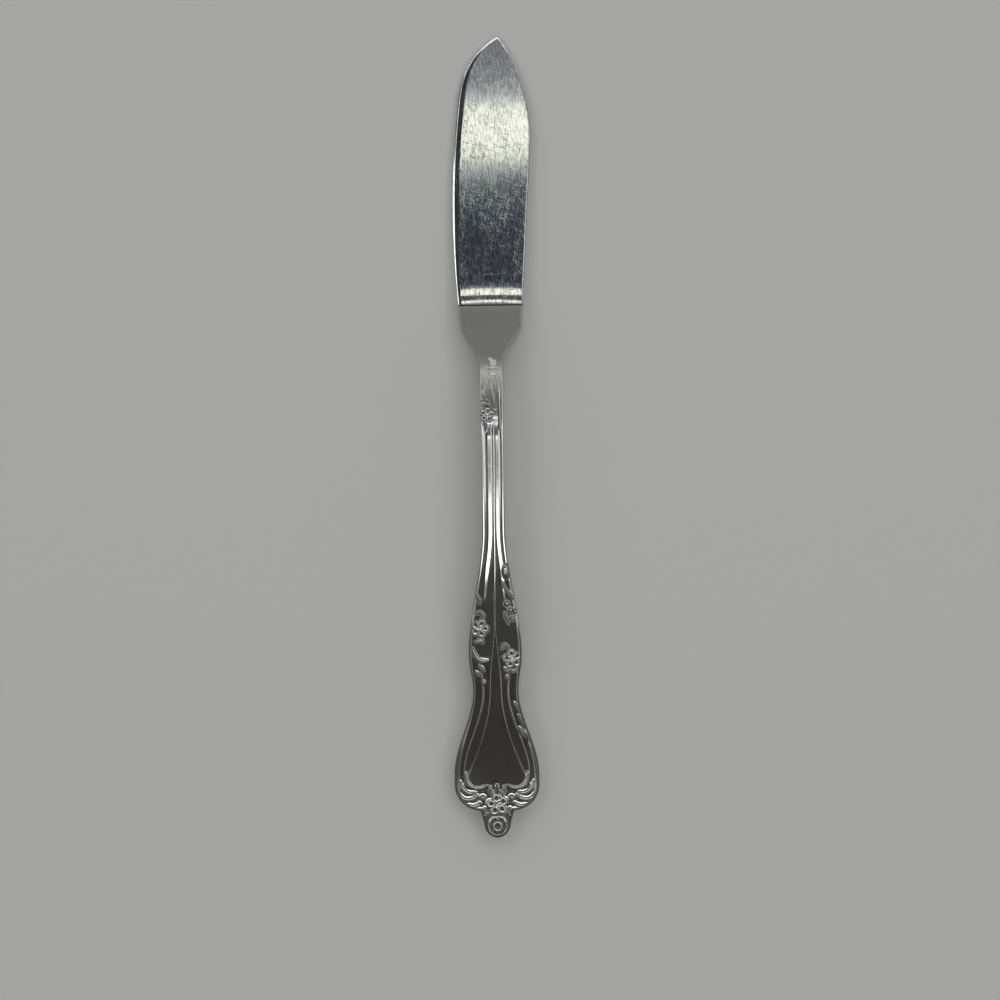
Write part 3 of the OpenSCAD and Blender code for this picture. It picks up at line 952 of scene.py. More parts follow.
@dataclass(frozen=True)
class SteelFinish:
    """Polished steel with lengthwise brushing, a fine grain, scratches, and recesses that are
    dulled and darkened with painted shade.
    """

    name: str
    tint: Colour
    roughness: float
    brush_tone: float
    grain_depth: float
    scratch_depth: float
    scratch_angles: tuple[float, ...] = (12.0, -28.0, 57.0)
    wear_run: Point = (-2.0, -1.0)
    satin_run: Point = (1.0, 2.0)
    satin_roughness: float = 0.34
    # Colour of the painted shade in recesses, beside figures, in the flutes, at edges and in the
    # seam.
    painted_shade_tint: Colour = (0.06, 0.061, 0.058)
    dull_roughness: float = 0.4
    scuff_roughness: float = 0.3
    scuff_share: float = 0.0
    scuff_least: float = 0.3
    gloss_spread: Point = (0.85, 1.15)
    brush_repeats: Triple = (3000.0, 560.0, 3000.0)
    cloud_repeats: Triple = (260.0, 110.0, 260.0)
    grain_repeats: Triple = (3800.0, 3000.0, 3800.0)
    scratch_repeats: Triple = (4600.0, 520.0, 4600.0)
    brush_band: Point = (0.38, 0.58)
    gloss_band: Point = (0.3, 0.7)
    patch_band: Point = (0.38, 0.62)
    scuff_band: Point = (0.6, 0.75)
    scratch_band: Point = (0.67, 0.8)

    def material(self) -> bpy.types.Material:
        """Builds the node material.

        Returns:
            The new material.
        """
        steel, bench, shader = Bench.for_metal(self.name)
        place = bench.add("ShaderNodeTexCoord").outputs["Object"]
        axes = bench.add("ShaderNodeSeparateXYZ")
        bench.link(place, axes.inputs["Vector"])
        wear = bench.map_range(axes.outputs["Y"], self.wear_run, smooth=True)
        satin = bench.map_range(axes.outputs["Y"], self.satin_run, smooth=True)
        dull_shade = bench.add("ShaderNodeAttribute", attribute_name=DULL_SHADE).outputs["Fac"]
        brush = bench.noise(place, self.brush_repeats, detail=2.0)
        tone = bench.map_range(brush, self.brush_band, (1.0 - self.brush_tone, 1.0))
        # Painted shade: where the dull_shade mask is high, the steel's colour is darkened to the
        # painted shade tint, in recesses, beside figures, in flutes, at edges and in the seam.
        colour = bench.mix_colour(dull_shade, bench.tinted(tone, self.tint), self.painted_shade_tint)
        bench.link(colour, shader.inputs["Base Color"])
        cloud = bench.noise(place, self.cloud_repeats, detail=3.0)
        glossy, matt = self.gloss_spread
        gloss = bench.map_range(cloud, self.gloss_band,
                                (glossy * self.roughness, matt * self.roughness))
        gloss = bench.mix_value(satin, gloss, self.satin_roughness)
        grain = bench.noise(place, self.grain_repeats, detail=1.0)
        normal = bench.bump(grain, self.grain_depth, wear)
        patch = bench.map_range(cloud, self.patch_band,
                                (self.scuff_least * self.scuff_share, self.scuff_share))
        scuff = bench.map_range(grain, self.scuff_band)
        for angle in self.scratch_angles:
            line = bench.noise(place, self.scratch_repeats, detail=0.0, turn=angle)
            mark = bench.map_range(line, self.scratch_band)
            normal = bench.bump(mark, self.scratch_depth, wear, normal)
            scuff = bench.combined("MAXIMUM", scuff, mark)
        scuff = bench.combined("MULTIPLY", scuff, patch)
        gloss = bench.mix_value(scuff, gloss, self.scuff_roughness)
        bench.link(bench.mix_value(dull_shade, gloss, self.dull_roughness), shader.inputs["Roughness"])
        bench.link(normal, shader.inputs["Normal"])
        return steel


@dataclass(frozen=True)
class BrazeFinish:
    """Silver braze as it sets: pale brass-coloured metal with a mottled, dull skin."""

    name: str = "braze_skin"
    pale: Colour = (0.78, 0.7, 0.5)
    dark: Colour = (0.5, 0.43, 0.3)
    roughness: float = 0.38
    mottle_repeats: Triple = (900.0, 900.0, 900.0)
    mottle_band: Point = (0.3, 0.7)
    mottle_tone: Point = (0.85, 1.0)
    mottle_depth: float = 1e-5
    spot_band: Point = (0.5, 0.7)

    def material(self) -> bpy.types.Material:
        """Builds the node material.

        Returns:
            The new material.
        """
        braze, bench, shader = Bench.for_metal(self.name)
        shader.inputs["Roughness"].default_value = self.roughness
        place = bench.add("ShaderNodeTexCoord").outputs["Object"]
        mottle = bench.noise(place, self.mottle_repeats, detail=4.0)
        tone = bench.map_range(mottle, self.mottle_band, self.mottle_tone)
        bright = bench.tinted(tone, self.pale)
        spots = bench.map_range(mottle, self.spot_band)
        bench.link(bench.mix_colour(spots, bright, self.dark), shader.inputs["Base Color"])
        bench.link(bench.bump(mottle, self.mottle_depth, spots), shader.inputs["Normal"])
        return braze


class Bench:
    """Adds and links the nodes of one shader tree."""

    MIX_SHARE, MIX_VALUES, MIX_COLOURS = 0, (2, 3), (6, 7)
    MIXED_VALUE, MIXED_COLOUR = 0, 2

    def __init__(self, tree: bpy.types.NodeTree) -> None:
        """Keeps the tree that the nodes go into."""
        self.tree = tree

    @classmethod
    def for_metal(cls, name: str) -> tuple[bpy.types.Material, "Bench", bpy.types.Node]:
        """Starts the material of a metal.

        Args:
            name: Name of the new material.

        Returns:
            The material, the bench for its nodes, and its shader.
        """
        metal = bpy.data.materials.new(name)
        metal.use_nodes = True
        bench = cls(metal.node_tree)
        shader = bench.tree.nodes["Principled BSDF"]
        shader.inputs["Metallic"].default_value = 1.0
        return metal, bench, shader

    def add(self, kind: str, **settings: object) -> bpy.types.Node:
        """Adds a node.

        Args:
            kind: Kind of node.
            settings: The node's own settings.

        Returns:
            The new node.
        """
        node = self.tree.nodes.new(kind)
        for name, value in settings.items():
            setattr(node, name, value)
        return node

    def link(self, source: Socket, target: Socket) -> None:
        """Links an output to an input."""
        self.tree.links.new(source, target)

    def noise(self, place: Socket, repeats: Triple, detail: float, turn: float = 0.0) -> Socket:
        """Adds noise stretched along the axes.

        Args:
            place: Coordinates that it is laid over.
            repeats: Repeats in a metre along x, y and z.
            detail: Octaves of finer noise.
            turn: Angle in degrees by which the stretch is turned round z.

        Returns:
            The noise, about 0.5 on average.
        """
        mapping = self.add("ShaderNodeMapping", vector_type="TEXTURE")
        mapping.inputs["Rotation"].default_value = (0.0, 0.0, math.radians(turn))
        mapping.inputs["Scale"].default_value = tuple(1.0 / repeat for repeat in repeats)
        self.link(place, mapping.inputs["Vector"])
        noise = self.add("ShaderNodeTexNoise")
        noise.inputs["Scale"].default_value = 1.0
        noise.inputs["Detail"].default_value = detail
        self.link(mapping.outputs["Vector"], noise.inputs["Vector"])
        return noise.outputs["Fac"]

    def map_range(self, value: Socket, source: Point, target: Point = (0.0, 1.0),
                  smooth: bool = False) -> Socket:
        """Maps one range of values to another, and stops at its ends.

        Args:
            value: Value to map.
            source: Range that it comes from.
            target: Range that it goes to.
            smooth: Whether it passes smoothly, not evenly, from end to end.

        Returns:
            The mapped value.
        """
        node = self.add("ShaderNodeMapRange")
        node.interpolation_type = "SMOOTHSTEP" if smooth else "LINEAR"
        for name, number in zip(("From Min", "From Max", "To Min", "To Max"), (*source, *target)):
            node.inputs[name].default_value = number
        self.link(value, node.inputs["Value"])
        return node.outputs["Result"]

    def tinted(self, tone: Socket, tint: Colour | Socket) -> Socket:
        """Scales a colour by a tone.

        Args:
            tone: Brightness.
            tint: Plain or linked colour.

        Returns:
            The scaled colour.
        """
        node = self.add("ShaderNodeVectorMath", operation="SCALE")
        if isinstance(tint, tuple):
            node.inputs[0].default_value = tint
        else:
            self.link(tint, node.inputs[0])
        self.link(tone, node.inputs["Scale"])
        return node.outputs["Vector"]

    def mix_colour(self, share: Socket, first: Socket, second: Colour | Socket) -> Socket:
        """Mixes two colours.

        Args:
            share: Share of the second colour.
            first: Linked colour.
            second: Plain or linked colour.

        Returns:
            The mixed colour.
        """
        node = self.add("ShaderNodeMix", data_type="RGBA")
        first_input, second_input = (node.inputs[index] for index in self.MIX_COLOURS)
        self.link(share, node.inputs[self.MIX_SHARE])
        self.link(first, first_input)
        if isinstance(second, tuple):
            second_input.default_value = (*second, 1.0)
        else:
            self.link(second, second_input)
        return node.outputs[self.MIXED_COLOUR]

    def mix_value(self, share: Socket, first: Socket, second: float) -> Socket:
        """Mixes two values.

        Args:
            share: Share of the second value.
            first: Linked value.
            second: Plain value.

        Returns:
            The mixed value.
        """
        node = self.add("ShaderNodeMix", data_type="FLOAT")
        first_input, second_input = (node.inputs[index] for index in self.MIX_VALUES)
        self.link(share, node.inputs[self.MIX_SHARE])
        self.link(first, first_input)
        second_input.default_value = second
        return node.outputs[self.MIXED_VALUE]

    def combined(self, operation: str, first: Socket, second: Socket) -> Socket:
        """Works out a sum on two values.

        Args:
            operation: Kind of sum.
            first: First value.
            second: Second value.

        Returns:
            The result.
        """
        node = self.add("ShaderNodeMath", operation=operation)
        self.link(first, node.inputs[0])
        self.link(second, node.inputs[1])
        return node.outputs["Value"]

    def ramp(self, value: Socket, stops: Stops) -> Socket:
        """Looks a colour up along a row of stops.

        Args:
            value: Place along the row, from 0 to 1.
            stops: Places of the stops and their colours.

        Returns:
            The colour.
        """
        node = self.add("ShaderNodeValToRGB")
        elements = node.color_ramp.elements
        while len(elements) < len(stops):
            elements.new(1.0)
        for element, (place, colour) in zip(elements, stops):
            element.position = place
            element.color = (*colour, 1.0)
        self.link(value, node.inputs["Fac"])
        return node.outputs["Color"]

    def bump(self, height: Socket, depth: float, strength: Socket,
             under: Socket | None = None) -> Socket:
        """Adds a bump, over an earlier one where there is one.

        Args:
            height: Share of the depth.
            depth: Depth in metres.
            strength: How much of the bump shows.
            under: Normal of the earlier bump.

        Returns:
            The new normal.
        """
        node = self.add("ShaderNodeBump")
        node.inputs["Distance"].default_value = depth
        self.link(strength, node.inputs["Strength"])
        self.link(height, node.inputs["Height"])
        if under is not None:
            self.link(under, node.inputs["Normal"])
        return node.outputs["Normal"]


def marked_rings(ring_x: Field, y: Field, ring_z: Field, dull_shade: Field,
                 seam: Field) -> tuple[Field, Field]:
    """Puts the rings of a skin together and marks how dull and how darkened by painted shade each
    point is.

    Args:
        ring_x: Distances from the centre line, in rows of rings.
        y: Place of each ring.
        ring_z: Heights, in rows of rings.
        dull_shade: Dullness and painted shade of the points on the face, which come first in each
            ring.
        seam: True for the rings inside the seam at the shoulder line, which are dulled and darkened
            with painted shade all round.

    Returns:
        Points, and the dullness and painted shade of each, in rows of rings.
    """
    ring_y = np.repeat(y[:, None], ring_x.shape[1], axis=1)
    marks = np.zeros(ring_x.shape)
    marks[:, :dull_shade.shape[1]] = dull_shade
    marks[:, -1] = dull_shade[:, 0]
    marks[seam] = 1.0
    return np.stack([ring_x, ring_y, ring_z], 2), marks


@dataclass
class Handle:
    """Die-struck handle with its neck, stem and ornamented body."""

    form: HandleForm
    face: StruckFace
    finish: SteelFinish
    end: Triple
    top_columns: int = 124
    edge_crowding: float = 0.25
    back_round: float = 0.4
    round_share: float = 0.5
    round_steps: int = 4
    seam_round: float = 0.15
    smooth_angle: float = 50.0
    button_turns: Triple = (7.0, 60.0, 2.5)
    lobe_turn: float = 0.5
    row_zones: tuple[Triple, ...] = (
        (0.8, 13.6, 0.115), (13.6, 18.5, 0.3), (18.5, 29.2, 0.15), (29.2, 32.6, 0.3),
        (32.6, 58.8, 0.14), (58.8, 86.5, 0.5), (86.5, 104.6, 0.13),
    )
    neck_step: float = 0.35
    least_step: float = 0.008

    def rows(self) -> Field:
        """Spaces the rings, close together where there is ornament.

        Returns:
            Places of the rings.
        """
        form = self.form
        turn = np.radians(np.arange(*self.button_turns))
        lobe_turn = turn[turn < self.lobe_turn] - turn[0]
        return spaced_rows([
            np.array([0.0, form.length]),
            form.button_radius * (1.0 - np.cos(turn)),
            form.lobe_foot + form.lobe_radius * (1.0 - np.cos(lobe_turn)),
            form.length - self.seam_round * SEAM_STEPS,
            np.arange(self.row_zones[-1][1], form.length, self.neck_step),
            *[np.arange(*zone) for zone in self.row_zones],
        ], least=self.least_step)

    def rings(self) -> tuple[Field, Field]:
        """Works out the rings of the skin.

        Returns:
            Points in millimetres and the dullness and painted shade of each, in rows of rings.
        """
        form = self.form
        y = self.rows()
        half, back = form.half_width(y), form.back_height(y)
        spread = np.linspace(1.0, -1.0, self.top_columns + 1)
        crowded = spread * (1.0 + self.edge_crowding - self.edge_crowding * spread ** 2)
        x = half[:, None] * crowded[None, :]
        deep_y = np.repeat(y[:, None], x.shape[1], axis=1)
        relief, dull_shade = self.face.relief(x, deep_y)
        top = (back + form.edge_height(y))[:, None] + form.crown(x, deep_y) + relief
        corner = np.minimum(self.back_round, self.round_share * half)
        turn = np.linspace(0.0, 0.5 * np.pi, self.round_steps + 1)[None, :]
        corner_x = half[:, None] - corner[:, None] * (1.0 - np.cos(turn))
        corner_z = back[:, None] + corner[:, None] * (1.0 - np.sin(turn))
        inner = (half - corner)[:, None] * BACK_SPREAD
        flat = np.repeat(back[:, None], inner.shape[1], axis=1)
        wall = 0.5 * (top[:, [-1, 0]] + (back + corner)[:, None])
        ring_x = np.hstack([x, -half[:, None], -corner_x, inner, corner_x[:, ::-1], half[:, None],
                            x[:, :1]])
        ring_z = np.hstack([top, wall[:, :1], corner_z, flat, corner_z[:, ::-1], wall[:, 1:],
                            top[:, :1]])
        past = np.clip((y - form.length) / self.seam_round + 1.0, 0.0, 1.0)
        drawn = seam_draw(past, self.seam_round)
        middle = 0.5 * (ring_z.max(1) + back)
        ring_x = ring_x * (1.0 - drawn / half)[:, None]
        thin = 1.0 - drawn / (middle - back)
        ring_z = middle[:, None] + (ring_z - middle[:, None]) * thin[:, None]
        # Inside the seam at the shoulder line the steel is dulled and darkened with painted shade
        # all round.
        seam = y > form.length - SEAM_DULL_SHADE * self.seam_round
        return marked_rings(ring_x, y, ring_z, dull_shade, seam)

    def build(self) -> bpy.types.Object:
        """Makes the handle's mesh and dresses it.

        Returns:
            The finished piece.
        """
        points, dull_shade = self.rings()
        piece = rolled_skin("struck_handle", points * MM + self.end, dull_shade, self.smooth_angle)
        piece.data.materials.append(self.finish.material())
        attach(piece, ROOT_BODY)
        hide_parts("handle")
        return piece


@dataclass(frozen=True)
class Arc:
    """Circular arc of the blade's outline: its middle and its radius."""

    x: float
    y: float
    radius: float

    def reach(self, y: Field) -> Field:
        """Distance of the arc from its middle, across the blade."""
        return half_chord(self.radius, y - self.y)

    def touch_place(self, inner: "Arc") -> float:
        """Place where a smaller arc inside this one touches it."""
        run = math.hypot(inner.x - self.x, inner.y - self.y)
        return self.y + self.radius * (inner.y - self.y) / run


@dataclass(frozen=True)
class BladeForm:
    """Outline and section of the blade, in millimetres from the shoulder line."""

    length: float
    heel_half: float = 7.15
    spine_reach: float = 9.5
    belly_swell: float = 1.05
    belly_place: float = 21.7
    nose_radius: float = 19.4
    clip_radius: float = 45.5
    tip_radius: float = 0.7
    tip_offset: float = 2.4
    neck_thick: float = 2.4
    tip_thick: float = 0.9
    ramp_slopes: tuple[Point, ...] = (
        (0.0, 0.055), (0.3, 0.0757), (0.9, 0.1027), (1.2, 0.13), (1.55, 0.145), (1.9, 0.13),
        (2.2, 0.1027), (3.5, 0.0757), (3.9, 0.055), (4.8, 0.033), (6.9, 0.0195),
    )
    ramp_bow: float = 0.16
    ramp_samples: int = 400
    bevel_width: float = 1.5
    bevel_drop: float = 0.45
    bevel_run: float = 24.0
    heel_bevel: float = 0.5
    tip_bevel: float = 0.18
    outer_slope: float = 0.62
    inner_slope: float = 0.17
    spine_round: float = 0.32
    edge_round: float = 0.08
    rim_run: float = 8.5
    rim_width: float = 0.6
    rim_slope: float = 0.42
    crease: float = 0.03

    @property
    def tip(self) -> Arc:
        """Arc that blunts the tip."""
        return Arc(self.tip_offset, self.length - self.tip_radius, self.tip_radius)

    @property
    def clip(self) -> Arc:
        """Arc of the clipped back, which runs tangent into the tip.

        Returns:
            The arc.
        """
        x = self.spine_reach - self.clip_radius
        drop = math.sqrt((self.clip_radius - self.tip_radius) ** 2 - (self.tip_offset - x) ** 2)
        return Arc(x, self.tip.y - drop, self.clip_radius)

    @property
    def belly(self) -> Arc:
        """Arc of the spreading edge from the heel to the nose."""
        radius = (self.belly_place ** 2 + self.belly_swell ** 2) / (2.0 * self.belly_swell)
        return Arc(radius - self.heel_half - self.belly_swell, self.belly_place, radius)

    @property
    def nose(self) -> Arc:
        """Arc of the nose, tangent to the belly and to the tip.

        Returns:
            The arc.
        """
        belly, tip = self.belly, self.tip
        way = math.hypot(tip.x - belly.x, tip.y - belly.y)
        ahead_x, ahead_y = (tip.x - belly.x) / way, (tip.y - belly.y) / way
        from_belly, from_tip = belly.radius - self.nose_radius, self.nose_radius - tip.radius
        along = (from_belly ** 2 - from_tip ** 2 + way ** 2) / (2.0 * way)
        aside = math.sqrt(from_belly ** 2 - along ** 2)
        return Arc(belly.x + along * ahead_x - aside * ahead_y,
                   belly.y + along * ahead_y + aside * ahead_x, self.nose_radius)

    def outline(self, y: Field) -> tuple[Field, Field]:
        """Follows the spreading edge and the back from the shoulder line to the tip.

        Args:
            y: Distances from the shoulder line.

        Returns:
            Left and right edge of the blade there.
        """
        tip, clip, nose, belly = self.tip, self.clip, self.nose, self.belly
        back = self.heel_half + (self.spine_reach - self.heel_half) * y / clip.y
        right = np.select([y < clip.y, y < clip.touch_place(tip)],
                          [back, clip.x + clip.reach(y)], tip.x + tip.reach(y))
        left = np.select([y < belly.touch_place(nose), y < nose.touch_place(tip)],
                         [belly.x - belly.reach(y), nose.x - nose.reach(y)], tip.x - tip.reach(y))
        return left, right

    def bevel_share(self, y: Field) -> Field:
        """Grows the bevel from the heel, and lets it run out towards the tip.

        Args:
            y: Distances from the shoulder line.

        Returns:
            Shares of its full width and drop.
        """
        start, end = self.belly.touch_place(self.nose), self.nose.touch_place(self.tip)
        grown = self.heel_bevel + (1.0 - self.heel_bevel) * rise(y / self.bevel_run)
        return grown * blend(1.0, self.tip_bevel, (y - start) / (end - start))

    def face_height(self, x: Field, y: Field) -> Field:
        """Lowers the face by the ground ramp, which bows towards the tip in the middle.

        Args:
            x: Distances from the centre line.
            y: Distances from the shoulder line, of the same shape.

        Returns:
            Heights of the face, without its bevels.
        """
        places, slopes = np.array(self.ramp_slopes).T
        bow = 1.0 + self.ramp_bow * np.clip(1.0 - (x / self.heel_half) ** 2, 0.0, None)
        bowed = y / blend(bow, 1.0, y / (2.0 * places[-1]))
        run = np.linspace(0.0, places[-1], self.ramp_samples)
        slope = np.interp(run, places, slopes)
        drop = np.concatenate([[0.0], np.cumsum(0.5 * (slope[1:] + slope[:-1]) * np.diff(run))])
        ramp = self.neck_thick - np.interp(bowed, run, drop)
        beyond = np.clip((y - places[-1]) / (self.length - places[-1]), 0.0, 1.0)
        return ramp - (self.neck_thick - drop[-1] - self.tip_thick) * beyond

    def top_height(self, x: Field, y: Field, left: Field, right: Field) -> Field:
        """Height of the ground face with its bevelled edge and rounded back.

        Args:
            x: Distances from the centre line.
            y: Distances from the shoulder line, of the same shape.
            left: Distances in from the spreading edge.
            right: Distances in from the back of the blade.

        Returns:
            Heights in millimetres.
        """
        face = self.face_height(x, y)
        share = self.bevel_share(y)
        outer = face - self.bevel_drop * share + self.outer_slope * left
        inner = face - self.inner_slope * (self.bevel_width * share - left)
        near_tip = rise((y - self.length + self.rim_run) / self.rim_run)
        rim = face - self.rim_slope * (self.rim_width * near_tip - np.minimum(left, right))
        high = outer
        for plane in (inner, face, rim):
            high = soft_min(high, plane, self.crease)
        return high - round_over(right, self.spine_round) - round_over(left, self.edge_round)


@dataclass
class Blade:
    """Spreading blade with its ground ramp at the shoulder."""

    form: BladeForm
    finish: SteelFinish
    shoulder: Triple
    top_columns: int = 84
    edge_crowding: float = 1.4
    least_half: float = 0.1
    least_thick: float = 0.3
    seam_round: float = 0.15
    back_round: float = 0.15
    round_share: float = 0.4
    round_steps: int = 3
    # Dullness and painted shade along the rounded back of the blade.
    spine_dull_shade: float = 0.8
    spine_inset: float = 0.05
    spine_run: float = 0.2
    outline_samples: int = 180
    tip_start: float = 50.0
    smooth_angle: float = 40.0
    row_zones: tuple[Triple, ...] = ((0.3, 9.0, 0.12), (9.0, 40.0, 0.4))
    tip_step: float = 0.2
    tip_turns: Triple = (10.0, 90.0, 5.0)
    least_step: float = 0.01

    def rows(self) -> Field:
        """Spaces the rings, close together on the ramp and at the tip.

        Returns:
            Places of the rings.
        """
        form = self.form
        turn = np.radians(np.arange(*self.tip_turns))
        return spaced_rows([
            np.array([0.0, form.length]),
            self.seam_round * SEAM_STEPS,
            *[np.arange(*zone) for zone in self.row_zones],
            np.arange(self.row_zones[-1][1], form.length - 2.0 * self.tip_step, self.tip_step),
            form.length - form.tip_radius * (1.0 - np.cos(turn)),
        ], least=self.least_step)

    def rings(self) -> tuple[Field, Field]:
        """Works out the rings of the skin.

        Returns:
            Points in millimetres from the shoulder line and the dullness and painted shade of each,
            in rows of rings.
        """
        form = self.form
        y = self.rows()
        left, right = form.outline(y)
        centre = 0.5 * (left + right)
        half = np.maximum(0.5 * (right - left), self.least_half)
        spread = np.linspace(1.0, -1.0, self.top_columns + 1)
        spread = np.sign(spread) * (1.0 - (1.0 - np.abs(spread)) ** self.edge_crowding)
        x = centre[:, None] + half[:, None] * spread[None, :]
        deep_y = np.repeat(y[:, None], x.shape[1], axis=1)
        even = np.linspace(0.0, form.length, self.outline_samples)
        samples = np.unique(np.concatenate([even, y[y > self.tip_start]]))
        edge_left, edge_right = form.outline(samples)
        from_left = line_distance(x, deep_y, np.stack([edge_left, samples], 1))[0]
        from_right = line_distance(x, deep_y, np.stack([edge_right, samples], 1))[0]
        top = form.top_height(x, deep_y, from_left, from_right)
        top = np.maximum(top, self.least_thick)
        corner = np.minimum(self.back_round, self.round_share * half)
        turn = np.linspace(0.0, 0.5 * np.pi, self.round_steps + 1)[None, :]
        inward = corner[:, None] * (1.0 - np.cos(turn))
        corner_z = corner[:, None] * (1.0 - np.sin(turn))
        low_left, low_right = (centre - half)[:, None] + inward, (centre + half)[:, None] - inward
        inner = centre[:, None] + (half - corner)[:, None] * BACK_SPREAD
        ring_x = np.hstack([x, low_left, inner, low_right[:, ::-1], x[:, :1]])
        flat = np.zeros(inner.shape)
        ring_z = np.hstack([top, corner_z, flat, corner_z[:, ::-1], top[:, :1]])
        drawn = seam_draw(np.clip(1.0 - y / self.seam_round, 0.0, 1.0), self.seam_round)
        middle = 0.5 * top.max(1)
        ring_x = centre[:, None] + (ring_x - centre[:, None]) * (1.0 - drawn / half)[:, None]
        ring_z = middle[:, None] + (ring_z - middle[:, None]) * (1.0 - drawn / middle)[:, None]
        # Painted shade, with dulling, along the rounded back, fading out towards the tip, and all
        # round inside the seam.
        plain = rise((y - form.length + form.rim_run) / form.rim_run)[:, None]
        spine = 1.0 - rise((from_right - self.spine_inset) / self.spine_run)
        seam = y < SEAM_DULL_SHADE * self.seam_round
        return marked_rings(ring_x, y, ring_z, self.spine_dull_shade * (1.0 - plain) * spine, seam)

    def build(self) -> bpy.types.Object:
        """Makes the blade's mesh and dresses it.

        Returns:
            The finished piece.
        """
        points, dull_shade = self.rings()
        piece = rolled_skin("ground_blade", points * MM + self.shoulder, dull_shade, self.smooth_angle)
        piece.data.materials.append(self.finish.material())
        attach(piece, ROOT_BODY)
        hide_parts("blade")
        return piece


@dataclass(frozen=True)
class Lamp:
    """Rectangular soft lamp that faces a point."""

    name: str
    place: Triple
    target: Triple
    width: float
    depth: float
    radiance: float
    tint: Colour = WHITE

    def build(self) -> bpy.types.Object:
        """Adds the lamp.

        Returns:
            The lamp's object.
        """
        bpy.ops.object.light_add(type="AREA", location=self.place)
        lamp = bpy.context.object
        lamp.name = self.name
        lamp.data.shape = "RECTANGLE"
        lamp.data.size = self.width
        lamp.data.size_y = self.depth
        lamp.data.energy = self.radiance * math.pi * self.width * self.depth
        lamp.data.color = self.tint
        away = np.subtract(self.target, self.place)
        flat = math.hypot(away[0], away[1])
        turn = math.atan2(away[1], away[0]) - 0.5 * math.pi if flat else 0.0
        lamp.rotation_euler = (math.atan2(flat, -away[2]), 0.0, turn)
        return lamp


